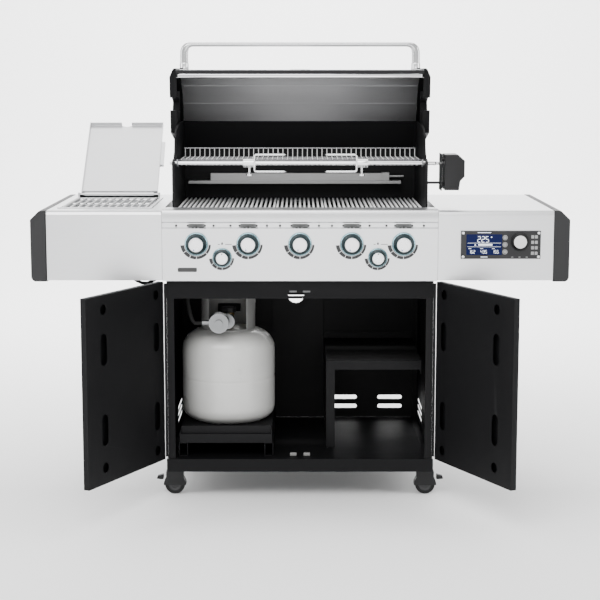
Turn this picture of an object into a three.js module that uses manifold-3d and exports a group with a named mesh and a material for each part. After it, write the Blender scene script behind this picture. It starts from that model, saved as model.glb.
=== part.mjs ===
// A freestanding gas barbecue: five main burners, a side burner, a rear infrared burner and a
// powered rotisserie over a two-door cabinet on four casters.
//
// Frame: millimetres, +Z up, the front of the grill faces -Y and +X is to the user's right.
// The model is laid out with Y = 0 at the front of the side shelves, and the last lines move it
// so that the middle of its footprint is the origin. It stands as shown in use: the lid, the
// side-burner lid and both doors are open.

import * as THREE from 'three';
import { mergeVertices } from 'three/addons/utils/BufferGeometryUtils.js';
import Module from 'manifold-3d';

const wasm = await Module();
wasm.setup();

// ---------------------------------------------------------------- driving dimensions

const GAP = 0.3;                // left between pieces that touch
const SHEET = 1.5;              // steel sheet
const OVERALL_WIDTH = 1620;     // across the two shelf end caps
const SHELF_DEPTH = 623;
const SHELF_TOP = 892;
const SHELF_APRON = 210;        // height of a shelf's front face
const CAP_WIDTH = 48;
const CAP_DROP = 4;             // how far an end cap hangs below the shelf
const CAP_CHAMFER = 28;

const PANEL_WIDTH = 829.6;      // control panel
const PANEL_BOTTOM = 680;
const PANEL_TOP = 897;
const PANEL_BAND = 38;          // rounded upper band
const PANEL_DEPTH = 62;

const CABINET_WIDTH = 810;
const CABINET_FRONT = 24;
const CABINET_REAR = 604;
const CABINET_TOP = 676;
const FLANGE = 22;              // folded edge of a side panel
const PAN_BOTTOM = 83.6;
const PAN_TOP = 123.8;
const PAN_OVERHANG = 5;
const RAIL_HEIGHT = 52;

const DOOR_WIDTH = CABINET_WIDTH / 2 + 3;
const DOOR_THICKNESS = 18;
const DOOR_BOTTOM = 124.4;
const DOOR_TOP = 675.5;
const DOOR_HINGE_X = CABINET_WIDTH / 2 + 9;
const DOOR_HINGE_Y = 18;
const DOOR_OPEN = 117;          // degrees from closed
const HANDLE_LENGTH = 300;
const HANDLE_RADIUS = 8;
const HANDLE_STANDOFF = 38;

const WHEEL_RADIUS = 31;
const HOOD_RADIUS = WHEEL_RADIUS + 3.8;
const WHEEL_WIDTH = 20;
const CASTER_X = 374;
const CASTER_FRONT_Y = 78;
const CASTER_REAR_Y = 550;
const CASTER_OFFSET = 16;       // wheel axle from the swivel axis
const AXLE_RADIUS = 4;
const STEM_RADIUS = 5.5;
const RUNNING = 0.4;            // clearance round a turning pin

const TANK_RADIUS = 148;
const TANK_WALL = 3;
const TANK_X = -229;
const TANK_Y = 262;
const TANK_BASE = 181;
const TANK_BODY = 295;          // foot ring to the top of the shoulder
const TANK_FOOT = 32;
const COLLAR_RADIUS = 86;
const COLLAR_TOP = 614;
const NECK = 6;                 // threaded boss on top of the tank
const TRAY_WIDTH = 285;
const TRAY_FRONT = 52;
const TRAY_DEPTH = 400;
const TRAY_TOP = 218;
const TRAY_BOTTOM = 167;

const FIREBOX_HALF = 390;
const FIREBOX_WALL = 6;
const FIREBOX_FRONT = 76;
const FIREBOX_REAR = 560;
const FIREBOX_BOTTOM = 706;
const FIREBOX_RIM = 892;
const GRID_TOP = 888;
const GRID_BAR = 8;
const GRID_COUNT = 5;
const BARS_PER_GRID = 6;

const HINGE_Y = 385;            // lid pivot
const HINGE_Z = 960;
const LID_OPEN = 90;            // degrees from closed
const LID_FRONT = 34;
const LID_BOTTOM = 900;
const LID_TOP = 1245;
const LID_REAR = 445;
const LID_DEPTH = 26;           // between the outer skin and the liner
const LID_CURVE = 170;
const LID_CAP_INNER = 394;
const LID_CAP_PLATE = 402;
const LID_CAP_OUTER = 416;
const PIN_RADIUS = 8;

const SPIT_Y = 145;
const SPIT_Z = 1026;
const SPIT_RADIUS = 6.5;
const SPIT_LEFT = -400;
const SPIT_RIGHT = 446;
const RACK_FRONT = 250;
const RACK_REAR = 425;
const RACK_Z = 1034;
const RACK_HALF = 376;
const MOTOR_LEFT = 442;
const MOTOR_RIGHT = 502;

const KNOB_PITCH = 155.6;
const KNOB_Z = 792;
const KNOB_RADIUS = 34;
const SMALL_KNOB_X = 234;
const SMALL_KNOB_Z = 751;
const SMALL_KNOB_RADIUS = 28;
const VALVE_STEM = 4;

const SIDE_BURNER_LEFT = -735;
const SIDE_BURNER_RIGHT = -457;
const SIDE_BURNER_FRONT = 92;
const SIDE_BURNER_REAR = 458;
const SIDE_LID_HINGE_Y = 474;
const SIDE_LID_HINGE_Z = 905;
const SIDE_LID_LENGTH = 340;
const SIDE_LID_OPEN = 139;      // degrees from closed

const CONTROLLER_LEFT = 483;
const CONTROLLER_RIGHT = 722;
const CONTROLLER_BOTTOM = 748;
const CONTROLLER_TOP = 832;
const DIAL_X = 659;
const DIAL_Z = 800;
const BUTTON_X = 615;
const BUTTON_Z = [812, 791, 769];

// ---------------------------------------------------------------- materials

const paint = (colour, roughness, metalness) =>
  new THREE.MeshStandardMaterial({ color: colour, roughness, metalness });
const STAINLESS = paint(0xc9cbcd, 0.35, 1);
const CHROME = paint(0xe6e8ea, 0.12, 1);
const BLACK_STEEL = paint(0x1b1b1d, 0.5, 0.3);
const CAST_BLACK = paint(0x242426, 0.6, 0.4);
const CAST_IRON = paint(0x4a4b4d, 0.55, 0.7);
const GREY_PLASTIC = paint(0x3f3f3f, 0.55, 0);
const BLACK_PLASTIC = paint(0x161617, 0.4, 0);
const RUBBER = paint(0x1d1d1d, 0.8, 0);
const TANK_PAINT = paint(0xd8d8d4, 0.35, 0.1);
const BRASS = paint(0xb9a063, 0.35, 1);
const CAST_ZINC = paint(0x9a9da0, 0.45, 0.9);

// ---------------------------------------------------------------- solids

// A closed geometry as a solid that can be joined and cut.
function solid(geometry) {
  const bare = geometry.clone();
  bare.deleteAttribute('normal');
  bare.deleteAttribute('uv');
  const merged = mergeVertices(bare, 1e-3);
  return new wasm.Manifold(new wasm.Mesh({
    numProp: 3,
    vertProperties: new Float32Array(merged.attributes.position.array),
    triVerts: new Uint32Array(merged.index.array),
  }));
}

function surface(body) {
  const mesh = body.getMesh();
  const geometry = new THREE.BufferGeometry();
  geometry.setAttribute('position', new THREE.BufferAttribute(mesh.vertProperties, 3));
  geometry.setIndex(new THREE.BufferAttribute(mesh.triVerts, 1));
  return geometry;
}

function join(...pieces) {
  return surface(pieces.map(solid).reduce((whole, piece) => whole.add(piece)));
}

function cut(piece, ...tools) {
  return surface(tools.map(solid).reduce((whole, tool) => whole.subtract(tool), solid(piece)));
}

function block(x0, x1, y0, y1, z0, z1) {
  const box = new THREE.BoxGeometry(x1 - x0, y1 - y0, z1 - z0);
  return box.translate((x0 + x1) / 2, (y0 + y1) / 2, (z0 + z1) / 2);
}

// A cylinder along X, Y or Z from `start` to `end` on that axis; `at` holds the other two places.
function rod(axis, radius, start, end, at, sides = 16, endRadius = radius) {
  const cylinder = new THREE.CylinderGeometry(endRadius, radius, end - start, sides);
  const middle = (start + end) / 2;
  if (axis === 'x') return cylinder.rotateZ(-Math.PI / 2).translate(middle, at[0], at[1]);
  if (axis === 'y') return cylinder.translate(at[0], middle, at[1]);
  return cylinder.rotateX(Math.PI / 2).translate(at[0], at[1], middle);
}

function outline(points) {
  return new THREE.Shape(points.map(([a, b]) => new THREE.Vector2(a, b)));
}

// A flat shape drawn in (Y, Z), made `x1 - x0` thick along X.
function slabX(shape, x0, x1, curveSegments = 4) {
  const slab = new THREE.ExtrudeGeometry(shape, { depth: x1 - x0, bevelEnabled: false, curveSegments });
  return slab.rotateY(Math.PI / 2).rotateX(Math.PI / 2).translate(x0, 0, 0);
}

// A flat shape drawn in (X, Z), made `y1 - y0` thick along Y.
function slabY(shape, y0, y1, curveSegments = 4) {
  const slab = new THREE.ExtrudeGeometry(shape, { depth: y1 - y0, bevelEnabled: false, curveSegments });
  return slab.rotateX(Math.PI / 2).translate(0, y1, 0);
}

// A flat shape drawn in (X, Y), made `z1 - z0` thick along Z.
function slabZ(shape, z0, z1, curveSegments = 4) {
  const slab = new THREE.ExtrudeGeometry(shape, { depth: z1 - z0, bevelEnabled: false, curveSegments });
  return slab.translate(0, 0, z0);
}

// A slot with round ends, `length` by `width`, centred at (a, b) and turned by `degrees`.
function slotShape(a, b, length, width, degrees = 0) {
  const radius = width / 2;
  const reach = length / 2 - radius;
  const turn = THREE.MathUtils.degToRad(degrees);
  const along = new THREE.Vector2(Math.cos(turn), Math.sin(turn)).multiplyScalar(reach);
  const shape = new THREE.Shape();
  shape.absarc(a + along.x, b + along.y, radius, turn - Math.PI / 2, turn + Math.PI / 2, false);
  shape.absarc(a - along.x, b - along.y, radius, turn + Math.PI / 2, turn + 1.5 * Math.PI, false);
  shape.closePath();
  return shape;
}

// A tube through hand-placed points.
function tube(points, radius, steps, sides = 8) {
  const route = new THREE.CatmullRomCurve3(points.map((p) => new THREE.Vector3(...p)));
  const section = new THREE.Shape().absarc(0, 0, radius, 0, 2 * Math.PI, false);
  return new THREE.ExtrudeGeometry(section, {
    extrudePath: route, steps, bevelEnabled: false, curveSegments: sides / 2,
  });
}

const mirrorX = (geometry) => {
  const flipped = geometry.clone().toNonIndexed();
  flipped.applyMatrix4(new THREE.Matrix4().makeScale(-1, 1, 1));
  const place = flipped.attributes.position.array;
  for (let i = 0; i < place.length; i += 9) {
    for (let k = 0; k < 3; k += 1) {
      [place[i + 3 + k], place[i + 6 + k]] = [place[i + 6 + k], place[i + 3 + k]];
    }
  }
  return flipped;
};

const grill = new THREE.Group();

function add(name, geometry, material, parent = grill) {
  const mesh = new THREE.Mesh(geometry, material);
  mesh.name = name;
  parent.add(mesh);
  return mesh;
}

// ---------------------------------------------------------------- cabinet

const half = CABINET_WIDTH / 2;

function basePan() {
  const wide = half + PAN_OVERHANG;
  const front = CABINET_FRONT - 4;
  const rear = CABINET_REAR + 6;
  const shell = block(-wide, wide, front, rear, PAN_BOTTOM, PAN_TOP);
  const hollow = block(-wide + 2, wide - 2, front + 2, rear - 2, PAN_BOTTOM - 1, PAN_TOP - 2);
  let pan = cut(shell, hollow);
  for (const x of [-CASTER_X, CASTER_X]) {
    for (const y of [CASTER_FRONT_Y, CASTER_REAR_Y]) {
      const inner = x < 0 ? [-wide + 1, x + 24] : [x - 24, wide - 1];
      pan = join(pan, block(...inner, y - 24, y + 24, PAN_BOTTOM + 4, PAN_TOP - 1));
      const socket = rod('z', STEM_RADIUS + RUNNING, PAN_BOTTOM - 1, PAN_TOP - 8, [x, y]);
      pan = cut(pan, socket);
    }
  }
  return pan;
}

function sidePanel() {
  const bottom = PAN_TOP + GAP;
  const shell = block(half - FLANGE, half, CABINET_FRONT, CABINET_REAR, bottom, CABINET_TOP);
  const hollow = block(half - FLANGE - 1, half - 2, CABINET_FRONT + 2, CABINET_REAR - 2,
    bottom + 2, CABINET_TOP - 2);
  const vents = [0, 1, 2].map((row) => slabX(
    slotShape(CABINET_REAR - 124, 156 + 21 * row, 176, 12), half - 5, half + 5));
  return cut(shell, hollow, ...vents);
}

function backPanel() {
  const y = CABINET_REAR + GAP;
  const sheet = block(-half, half, y, y + 2, PAN_TOP + GAP, CABINET_TOP);
  const channel = block(-94, 80, y - 14, y + 1, PAN_TOP + GAP + 4, CABINET_TOP - 4);
  const vents = [];
  for (const x of [154, 309]) {
    for (const z of [163, 194.5]) {
      vents.push(slabY(slotShape(x, z, 84, 14), y - 3, y + 3));
    }
  }
  const moon = new THREE.Shape().absarc(-14, 552, 29, Math.PI, 2 * Math.PI, false);
  const slot = slotShape(-14, 566, 62, 10);
  return cut(join(sheet, channel), ...vents, slabY(moon, y - 16, y + 3), slabY(slot, y - 16, y + 3));
}

function topRail() {
  const top = CABINET_TOP - 1;
  const y = CABINET_FRONT - GAP;
  const face = block(-half, half, y - 2, y, top - RAIL_HEIGHT, top);
  const inner = half - FLANGE - GAP;
  const slot = slabY(slotShape(-12, top - 39, 50, 9), y - 4, y + 2);
  return join(cut(face, slot), block(-inner, inner, y - 1, y + 30, top - 2, top),
    block(-inner, inner, y - 1, y + 18, top - RAIL_HEIGHT, top - RAIL_HEIGHT + 2));
}

function cabinetShelf() {
  const right = half - 2 - GAP;
  const edge = half - FLANGE - GAP;
  const rear = CABINET_REAR - GAP - 2;
  const front = 174;
  const left = 83;
  const top = 402;
  const floor = PAN_TOP + GAP;
  return join(block(left, edge, front, rear, top - 3, top),
    block(left, edge, front, front + 3, top - 28, top),
    block(left, left + 27, front, front + 3, floor, top - 27),
    block(left, left + 3, front, rear, floor, top),
    block(edge - 3, edge, front, rear, top - 41, top),
    block(left, edge, rear - 3, rear, top - 41, top + 22));
}

function tankTray() {
  const x0 = TANK_X - TRAY_WIDTH / 2;
  const x1 = TANK_X + TRAY_WIDTH / 2;
  const rear = TRAY_FRONT + TRAY_DEPTH;
  const floor = block(x0, x1, TRAY_FRONT, rear, TANK_BASE - 6, TANK_BASE - 3 - GAP);
  const deck = TANK_BASE + 22;
  const lip = block(x0, x1, TRAY_FRONT, TRAY_FRONT + 3, TRAY_BOTTOM, TRAY_TOP - 23);
  const step = block(x0 + 4, x1 - 4, TRAY_FRONT + 2, TRAY_FRONT + 14, TRAY_TOP - 25, TRAY_TOP - 23);
  const upper = block(x0 + 4, x1 - 4, TRAY_FRONT + 12, TRAY_FRONT + 14, TRAY_TOP - 24, TRAY_TOP);
  const sides = [x0, x1 - 3].map((x) => block(x, x + 3, TRAY_FRONT, rear, TRAY_BOTTOM, deck + 2));
  const cover = cut(block(x0 + 2, x1 - 2, TRAY_FRONT + 13, rear, deck, deck + 2),
    rod('z', 122, deck - 1, deck + 3, [TANK_X, TANK_Y], 32));
  const ring = cut(rod('z', 104, TANK_BASE - 5, TANK_BASE + 8, [TANK_X, TANK_Y], 24),
    rod('z', 101, TANK_BASE - 6, TANK_BASE + 9, [TANK_X, TANK_Y], 24));
  return join(floor, lip, step, upper, ...sides, ring, cover);
}

function trayRails() {
  const x0 = TANK_X - TRAY_WIDTH / 2 - 4;
  const x1 = TANK_X + TRAY_WIDTH / 2 + 4;
  const rear = TRAY_FRONT + TRAY_DEPTH + 60;
  const front = TRAY_FRONT + 6;
  const floor = PAN_TOP - 1;
  const shelf = TRAY_BOTTOM - GAP;
  const rails = [x0, x1 - 28].map((x) => block(x, x + 28, front, rear, floor, shelf));
  const hollows = [x0, x1 - 28].map((x) => block(x + 3, x + 25, front - 1, rear + 1, floor + 3, shelf - 3));
  const tie = block(x0 + 20, x1 - 20, rear - 30, rear, floor, floor + 4);
  return join(cut(rails[0], hollows[0]), cut(rails[1], hollows[1]), tie);
}

// The doors are drawn closed, then swung about their hinge.
function door() {
  const x0 = -DOOR_HINGE_X;
  const x1 = x0 + DOOR_WIDTH;
  const y0 = DOOR_HINGE_Y - DOOR_THICKNESS;
  const shell = block(x0, x1, y0, DOOR_HINGE_Y, DOOR_BOTTOM, DOOR_TOP);
  const hollow = block(x0 + SHEET, x1 - SHEET, y0 + SHEET, DOOR_HINGE_Y - SHEET,
    DOOR_BOTTOM + SHEET, DOOR_TOP - SHEET);
  const free = x1 - 86;
  const near = x0 + 42;
  const holes = [
    slotShape(free, 634, 30, 29.8), slotShape(free, 518, 92, 32, 90), slotShape(free, 283, 92, 32, 90),
    slotShape(free, 172, 30, 29.8), slotShape(near, 640, 30, 29.8), slotShape(near, 512, 88, 30, 90),
    slotShape(near, 268, 88, 30, 90), slotShape(near, 160, 30, 29.8),
  ].map((shape) => slabY(shape, DOOR_HINGE_Y - SHEET - 1, DOOR_HINGE_Y + 1, 4));
  return cut(shell, hollow, ...holes);
}

function doorHandle() {
  const x = -DOOR_HINGE_X + DOOR_WIDTH - 90;
  const y = DOOR_HINGE_Y - DOOR_THICKNESS;
  const top = DOOR_TOP - 60;
  const bar = rod('z', HANDLE_RADIUS, top - HANDLE_LENGTH, top, [x, y - HANDLE_STANDOFF], 16);
  const feet = [top - 30, top - HANDLE_LENGTH + 30].map(
    (z) => rod('y', 6, y - HANDLE_STANDOFF, y - GAP, [x, z], 12));
  return join(bar, ...feet);
}

// A pivot holds pieces drawn in place and turns them about its own origin.
function pivot(x, y, z) {
  const outer = new THREE.Group();
  outer.position.set(x, y, z);
  const inner = new THREE.Group();
  inner.position.set(-x, -y, -z);
  outer.add(inner);
  grill.add(outer);
  return { outer, inner };
}

const deg = THREE.MathUtils.degToRad;

add('base_pan', join(basePan(), trayRails()), BLACK_STEEL);
add('side_panel_right', sidePanel(), BLACK_STEEL);
add('side_panel_left', mirrorX(sidePanel()), BLACK_STEEL);
add('back_panel', backPanel(), BLACK_STEEL);
add('top_rail', topRail(), BLACK_STEEL);
add('cabinet_shelf', cabinetShelf(), BLACK_STEEL);
add('tank_tray', tankTray(), BLACK_STEEL);

for (const [side, sign] of [['left', -1], ['right', 1]]) {
  const swing = pivot(sign * DOOR_HINGE_X, DOOR_HINGE_Y, 0);
  swing.outer.rotation.z = sign * deg(DOOR_OPEN);
  const place = (geometry) => (sign < 0 ? geometry : mirrorX(geometry));
  add(`door_${side}`, place(door()), BLACK_STEEL, swing.inner);
  add(`door_handle_${side}`, place(doorHandle()), STAINLESS, swing.inner);
}

// ---------------------------------------------------------------- casters

function casterFork(x, y) {
  const axle = y + CASTER_OFFSET;
  const side = WHEEL_WIDTH / 2 + 2;
  const stem = rod('z', STEM_RADIUS, 76, PAN_TOP - 10, [x, y], 12);
  const hood = cut(join(rod('x', HOOD_RADIUS, x - side - 3, x + side + 3, [axle, WHEEL_RADIUS], 24),
    block(x - side - 3, x + side + 3, axle - 27, axle + 27, WHEEL_RADIUS + 8, 73)),
    rod('x', WHEEL_RADIUS + 2, x - side, x + side, [axle, WHEEL_RADIUS], 24),
    block(x - 40, x + 40, axle - 60, axle + 60, -20, WHEEL_RADIUS - 2));
  const crown = rod('z', 17, 72, PAN_BOTTOM - GAP, [x, y], 20);
  const pin = rod('x', AXLE_RADIUS, x - side - 1, x + side + 1, [axle, WHEEL_RADIUS], 12);
  return join(hood, crown, stem, pin);
}

function casterWheel(x, y) {
  const axle = y + CASTER_OFFSET;
  const edge = WHEEL_WIDTH / 2;
  const profile = [
    [AXLE_RADIUS + RUNNING, -edge], [WHEEL_RADIUS - 3, -edge], [WHEEL_RADIUS, -edge + 4],
    [WHEEL_RADIUS, edge - 4], [WHEEL_RADIUS - 3, edge], [AXLE_RADIUS + RUNNING, edge],
    [AXLE_RADIUS + RUNNING, -edge],
  ].map(([r, h]) => new THREE.Vector2(r, h));
  return new THREE.LatheGeometry(profile, 20).rotateZ(-Math.PI / 2).translate(x, axle, WHEEL_RADIUS);
}

function casterBrake(x, y) {
  const axle = y + CASTER_OFFSET;
  const wide = WHEEL_WIDTH / 2 - 2;
  const profile = outline([
    [axle + 35.4, 46], [axle + 35.4, 62], [axle + 54, 57], [axle + 57, 48], [axle + 44, 46],
  ]);
  return slabX(profile, x - wide, x + wide);
}

// Every caster stands turned so that its wheel rolls from side to side and its brake, on the
// front pair, points outwards.
for (const [end, y] of [['front', CASTER_FRONT_Y], ['rear', CASTER_REAR_Y]]) {
  for (const [side, sign] of [['left', -1], ['right', 1]]) {
    const swivel = pivot(sign * CASTER_X, y, 0);
    swivel.outer.rotation.z = -sign * Math.PI / 2;
    const x = sign * CASTER_X;
    add(`caster_fork_${end}_${side}`, casterFork(x, y), BLACK_PLASTIC, swivel.inner);
    add(`caster_wheel_${end}_${side}`, casterWheel(x, y), RUBBER, swivel.inner);
    if (end === 'front') {
      add(`caster_brake_${side}`, casterBrake(x, y), BLACK_PLASTIC, swivel.inner);
    }
  }
}

// ---------------------------------------------------------------- gas supply

function gasTank() {
  const r = TANK_RADIUS;
  const z = TANK_BASE;
  const low = z + TANK_FOOT - 6;
  const high = low + TANK_BODY;
  const outer = [
    [0, low - 20], [70, low - 17], [102, low - 8], [126, low + 2], [141, low + 13], [r, low + 30],
    [r, high - 66], [r - 5, high - 47], [r - 17, high - 33], [r - 37, high - 18], [r - 60, high - 9],
    [r - 98, high - 2], [22, high], [22, high + NECK], [15, high + NECK],
  ];
  const inner = [
    [15, high - TANK_WALL], [r - 99, high - 5], [r - 62, high - 12], [r - 39, high - 21],
    [r - 20, high - 35], [r - 8, high - 48], [r - 3, high - 66], [r - 3, low + 30], [138, low + 15],
    [124, low + 5], [101, low - 5], [69, low - 14], [0, low - 17],
  ];
  const profile = [...outer, ...inner].map(([a, b]) => new THREE.Vector2(a, b));
  const body = new THREE.LatheGeometry(profile, 24).rotateX(Math.PI / 2).translate(TANK_X, TANK_Y, 0);
  const foot = cut(rod('z', 100, z, low + 4, [TANK_X, TANK_Y], 24),
    rod('z', 97, z - 1, low + 5, [TANK_X, TANK_Y], 24));
  const collar = cut(rod('z', COLLAR_RADIUS, high - 20, COLLAR_TOP, [TANK_X, TANK_Y], 24),
    rod('z', COLLAR_RADIUS - 3, high - 21, COLLAR_TOP + 1, [TANK_X, TANK_Y], 24),
    block(TANK_X - 59, TANK_X + 59, TANK_Y - 120, TANK_Y, high - 8, COLLAR_TOP - 16),
    block(TANK_X - 40, TANK_X + 40, TANK_Y, TANK_Y + 120, high + 29, high + 61),
    block(TANK_X - 40, TANK_X + 40, TANK_Y - 120, TANK_Y, high - 8, COLLAR_TOP + 2));
  return join(body, foot, collar);
}

const TANK_TOP = TANK_BASE + TANK_FOOT - 6 + TANK_BODY;
const VALVE_Z = TANK_TOP + 26;

function tankValve() {
  const seat = TANK_TOP + NECK + GAP;
  return join(rod('z', 14.5, TANK_TOP + 4, seat + 1, [TANK_X, TANK_Y], 20),
    rod('z', 19, seat, VALVE_Z + 16, [TANK_X, TANK_Y], 20),
    rod('y', 16, TANK_Y - 62, TANK_Y, [TANK_X, VALVE_Z], 20),
    rod('z', VALVE_STEM, VALVE_Z + 10, VALVE_Z + 30, [TANK_X, TANK_Y], 12));
}

function handwheel() {
  const base = VALVE_Z + 17;
  const wheel = rod('z', 26, base, base + 16, [TANK_X, TANK_Y], 10);
  return cut(wheel, rod('z', VALVE_STEM + RUNNING, base - 1, base + 17, [TANK_X, TANK_Y], 12));
}

const REGULATOR_Y = 104;
const REGULATOR_X = -251;
const REGULATOR_Z = 535;

function regulator() {
  const nut = rod('y', 24, TANK_Y - 92, TANK_Y - 62 - GAP, [TANK_X, VALVE_Z], 16);
  const pipe = rod('y', 8, REGULATOR_Y, TANK_Y - 90, [TANK_X, VALVE_Z], 12);
  const elbow = rod('z', 9, REGULATOR_Z, VALVE_Z + 9, [TANK_X, REGULATOR_Y + 10], 12);
  const body = rod('y', 31, REGULATOR_Y - 14, REGULATOR_Y + 22, [REGULATOR_X, REGULATOR_Z], 24);
  const cover = rod('y', 12, REGULATOR_Y - 22, REGULATOR_Y - 13, [REGULATOR_X, REGULATOR_Z], 20);
  const outlet = rod('x', 9, REGULATOR_X - 52, REGULATOR_X, [REGULATOR_Y + 4, REGULATOR_Z], 12);
  return join(nut, pipe, elbow, body, cover, outlet);
}

// The hose from the regulator to the manifold, with the branch that feeds the side burner.
function gasHoses() {
  const start = REGULATOR_X - 52 - 2 * GAP;
  const y = REGULATOR_Y + 4;
  const main = tube([
    [start, y, REGULATOR_Z], [start - 24, y, REGULATOR_Z], [-345, y + 10, REGULATOR_Z + 50],
    [-350, 136, 640], [-346, 150, 694],
  ], 6, 18);
  const branch = tube([
    [-346, 150, 692], [-380, 168, 693], [-418, 176, 690], [-446, 150, 668], [-480, 122, 656],
    [-515, 124, 672], [-545, 170, 715], [-580, 245, 752], [-590, 272, 793],
  ], 5, 26);
  return join(main, branch);
}

add('gas_tank', gasTank(), TANK_PAINT);
add('tank_valve', tankValve(), BRASS);
add('valve_handwheel', handwheel(), BLACK_PLASTIC);
add('regulator', regulator(), CAST_ZINC);
add('gas_hoses', gasHoses(), RUBBER);

// ---------------------------------------------------------------- controls

const BIG_KNOBS = [-2, -1, 0, 1, 2].map((step) => step * KNOB_PITCH);
const SMALL_KNOBS = [-SMALL_KNOB_X, SMALL_KNOB_X];
const STEM_FRONT = -16;

function controlPanel() {
  const wide = PANEL_WIDTH / 2 - GAP;
  const band = PANEL_TOP - PANEL_BAND;
  const profile = outline([
    [26, PANEL_BOTTOM], [0, PANEL_BOTTOM], [0, band - 21], [5, band - 17], [5, band - 4], [0, band],
    [0, PANEL_TOP - 18], [5, PANEL_TOP - 5], [18, PANEL_TOP], [PANEL_DEPTH, PANEL_TOP],
    [PANEL_DEPTH, PANEL_TOP - 2], [18.5, PANEL_TOP - 2], [6.5, PANEL_TOP - 6.5],
    [2, PANEL_TOP - 18.5], [2, band], [7, band - 4], [7, band - 17], [2, band - 21],
    [2, PANEL_BOTTOM + 2], [26, PANEL_BOTTOM + 2],
  ]);
  const holes = [
    ...BIG_KNOBS.map((x) => rod('y', VALVE_STEM + 4, -4, 8, [x, KNOB_Z], 12)),
    ...SMALL_KNOBS.map((x) => rod('y', VALVE_STEM + 4, -4, 8, [x, SMALL_KNOB_Z], 12)),
  ];
  return cut(slabX(profile, -wide, wide), ...holes);
}

// A knob on its valve stem: a flared skirt, a domed face and a finger bar across it.
function knob(x, z, radius) {
  const skirt = rod('y', radius, -9, -1.5, [x, z], 20, radius * 0.94);
  const grip = rod('y', radius * 0.66, -27, -8.5, [x, z], 20, radius * 0.74);
  const bar = block(x - radius * 0.16, x + radius * 0.16, -31, -20, z - radius * 0.62, z + radius * 0.62);
  const bore = rod('y', VALVE_STEM + RUNNING, STEM_FRONT - 1, 0, [x, z], 8);
  return cut(join(skirt, grip, bar), bore);
}

add('control_panel', controlPanel(), STAINLESS);
BIG_KNOBS.forEach((x, i) => add(`burner_knob_${i + 1}`, knob(x, KNOB_Z, KNOB_RADIUS), CHROME));
add('side_burner_knob', knob(-SMALL_KNOB_X, SMALL_KNOB_Z, SMALL_KNOB_RADIUS), CHROME);
add('rear_burner_knob', knob(SMALL_KNOB_X, SMALL_KNOB_Z, SMALL_KNOB_RADIUS), CHROME);

// ---------------------------------------------------------------- side shelves

const SHELF_INNER = PANEL_WIDTH / 2 + GAP;
const SHELF_OUTER = OVERALL_WIDTH / 2 - CAP_WIDTH - GAP;
const SHELF_BOTTOM = SHELF_TOP - SHELF_APRON;

function shelf() {
  const top = SHELF_TOP;
  const rear = SHELF_DEPTH;
  const profile = outline([
    [16, SHELF_BOTTOM], [0, SHELF_BOTTOM], [0, top - 14], [4, top - 4], [14, top], [rear, top],
    [rear, top - 90], [rear - 2, top - 90], [rear - 2, top - 2], [14.6, top - 2],
    [5.4, top - 5.4], [2, top - 14.6], [2, SHELF_BOTTOM + 2], [16, SHELF_BOTTOM + 2],
  ]);
  const skin = slabX(profile, SHELF_INNER, SHELF_OUTER);
  const inner = block(SHELF_INNER, SHELF_INNER + 2, 1, rear - 1, top - 172, top - 1);
  const outer = block(SHELF_OUTER - 2, SHELF_OUTER, 1, rear - 1, top - 172, top - 1);
  const cheek = block(SHELF_INNER, SHELF_INNER + 2, 1, 40, SHELF_BOTTOM + 1, top - 1);
  const arms = [70, 470].map((y) => join(
    block(SHELF_INNER, SHELF_INNER + 2, y, y + 36, SHELF_BOTTOM - 6, top - 160),
    slabY(outline([
      [SHELF_INNER, SHELF_BOTTOM - 6], [SHELF_INNER + 108, SHELF_BOTTOM - 6],
      [SHELF_INNER + 96, SHELF_BOTTOM], [SHELF_INNER, SHELF_BOTTOM + 8],
    ]), y, y + 36)));
  return join(skin, inner, outer, cheek, ...arms);
}

function shelfCap() {
  const inner = OVERALL_WIDTH / 2 - CAP_WIDTH;
  const outer = OVERALL_WIDTH / 2;
  const low = SHELF_BOTTOM - CAP_DROP;
  const high = SHELF_TOP + 1;
  const wall = 4;
  const body = slabY(outline([
    [inner, low], [outer - 12, low], [outer - 4, low + 4], [outer, low + 12],
    [outer, high - CAP_CHAMFER], [outer - CAP_CHAMFER, high - 1], [inner, high],
  ]), -3, SHELF_DEPTH + 3);
  const hollow = slabY(outline([
    [inner - 1, low + wall], [outer - wall - 6, low + wall], [outer - wall, low + wall + 8],
    [outer - wall, high - CAP_CHAMFER - 2], [outer - CAP_CHAMFER - 2, high - wall - 1],
    [inner - 1, high - wall],
  ]), 1, SHELF_DEPTH - 1);
  return cut(body, hollow);
}

const burnerHole = block(SIDE_BURNER_LEFT, SIDE_BURNER_RIGHT, SIDE_BURNER_FRONT, SIDE_BURNER_REAR,
  SHELF_TOP - 5, SHELF_TOP + 5);
add('shelf_right', shelf(), STAINLESS);
add('shelf_left', cut(mirrorX(shelf()), burnerHole), STAINLESS);
add('shelf_cap_right', shelfCap(), GREY_PLASTIC);
add('shelf_cap_left', mirrorX(shelfCap()), GREY_PLASTIC);

// ---------------------------------------------------------------- temperature controller

function controllerHousing() {
  const face = -7;
  const body = block(CONTROLLER_LEFT, CONTROLLER_RIGHT, face, -GAP, CONTROLLER_BOTTOM, CONTROLLER_TOP);
  const stem = rod('y', VALVE_STEM, -15, face + 1, [DIAL_X, DIAL_Z], 12);
  const wells = BUTTON_Z.map((z) => rod('y', 5.6, face - 1, face + 5.5, [BUTTON_X, z], 16));
  const window = block(CONTROLLER_LEFT + 16, BUTTON_X - 14, face - 1, face + 1.2,
    CONTROLLER_BOTTOM + 11, CONTROLLER_TOP - 11);
  return join(cut(body, ...wells, window), stem);
}

function controllerDial() {
  const skirt = rod('y', 27, -12, -7 - GAP, [DIAL_X, DIAL_Z], 28, 25.5);
  const cap = rod('y', 18, -22, -11.5, [DIAL_X, DIAL_Z], 28, 20);
  const bore = rod('y', VALVE_STEM + RUNNING, -16, -6, [DIAL_X, DIAL_Z], 12);
  return cut(join(cap, skirt), bore);
}

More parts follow.
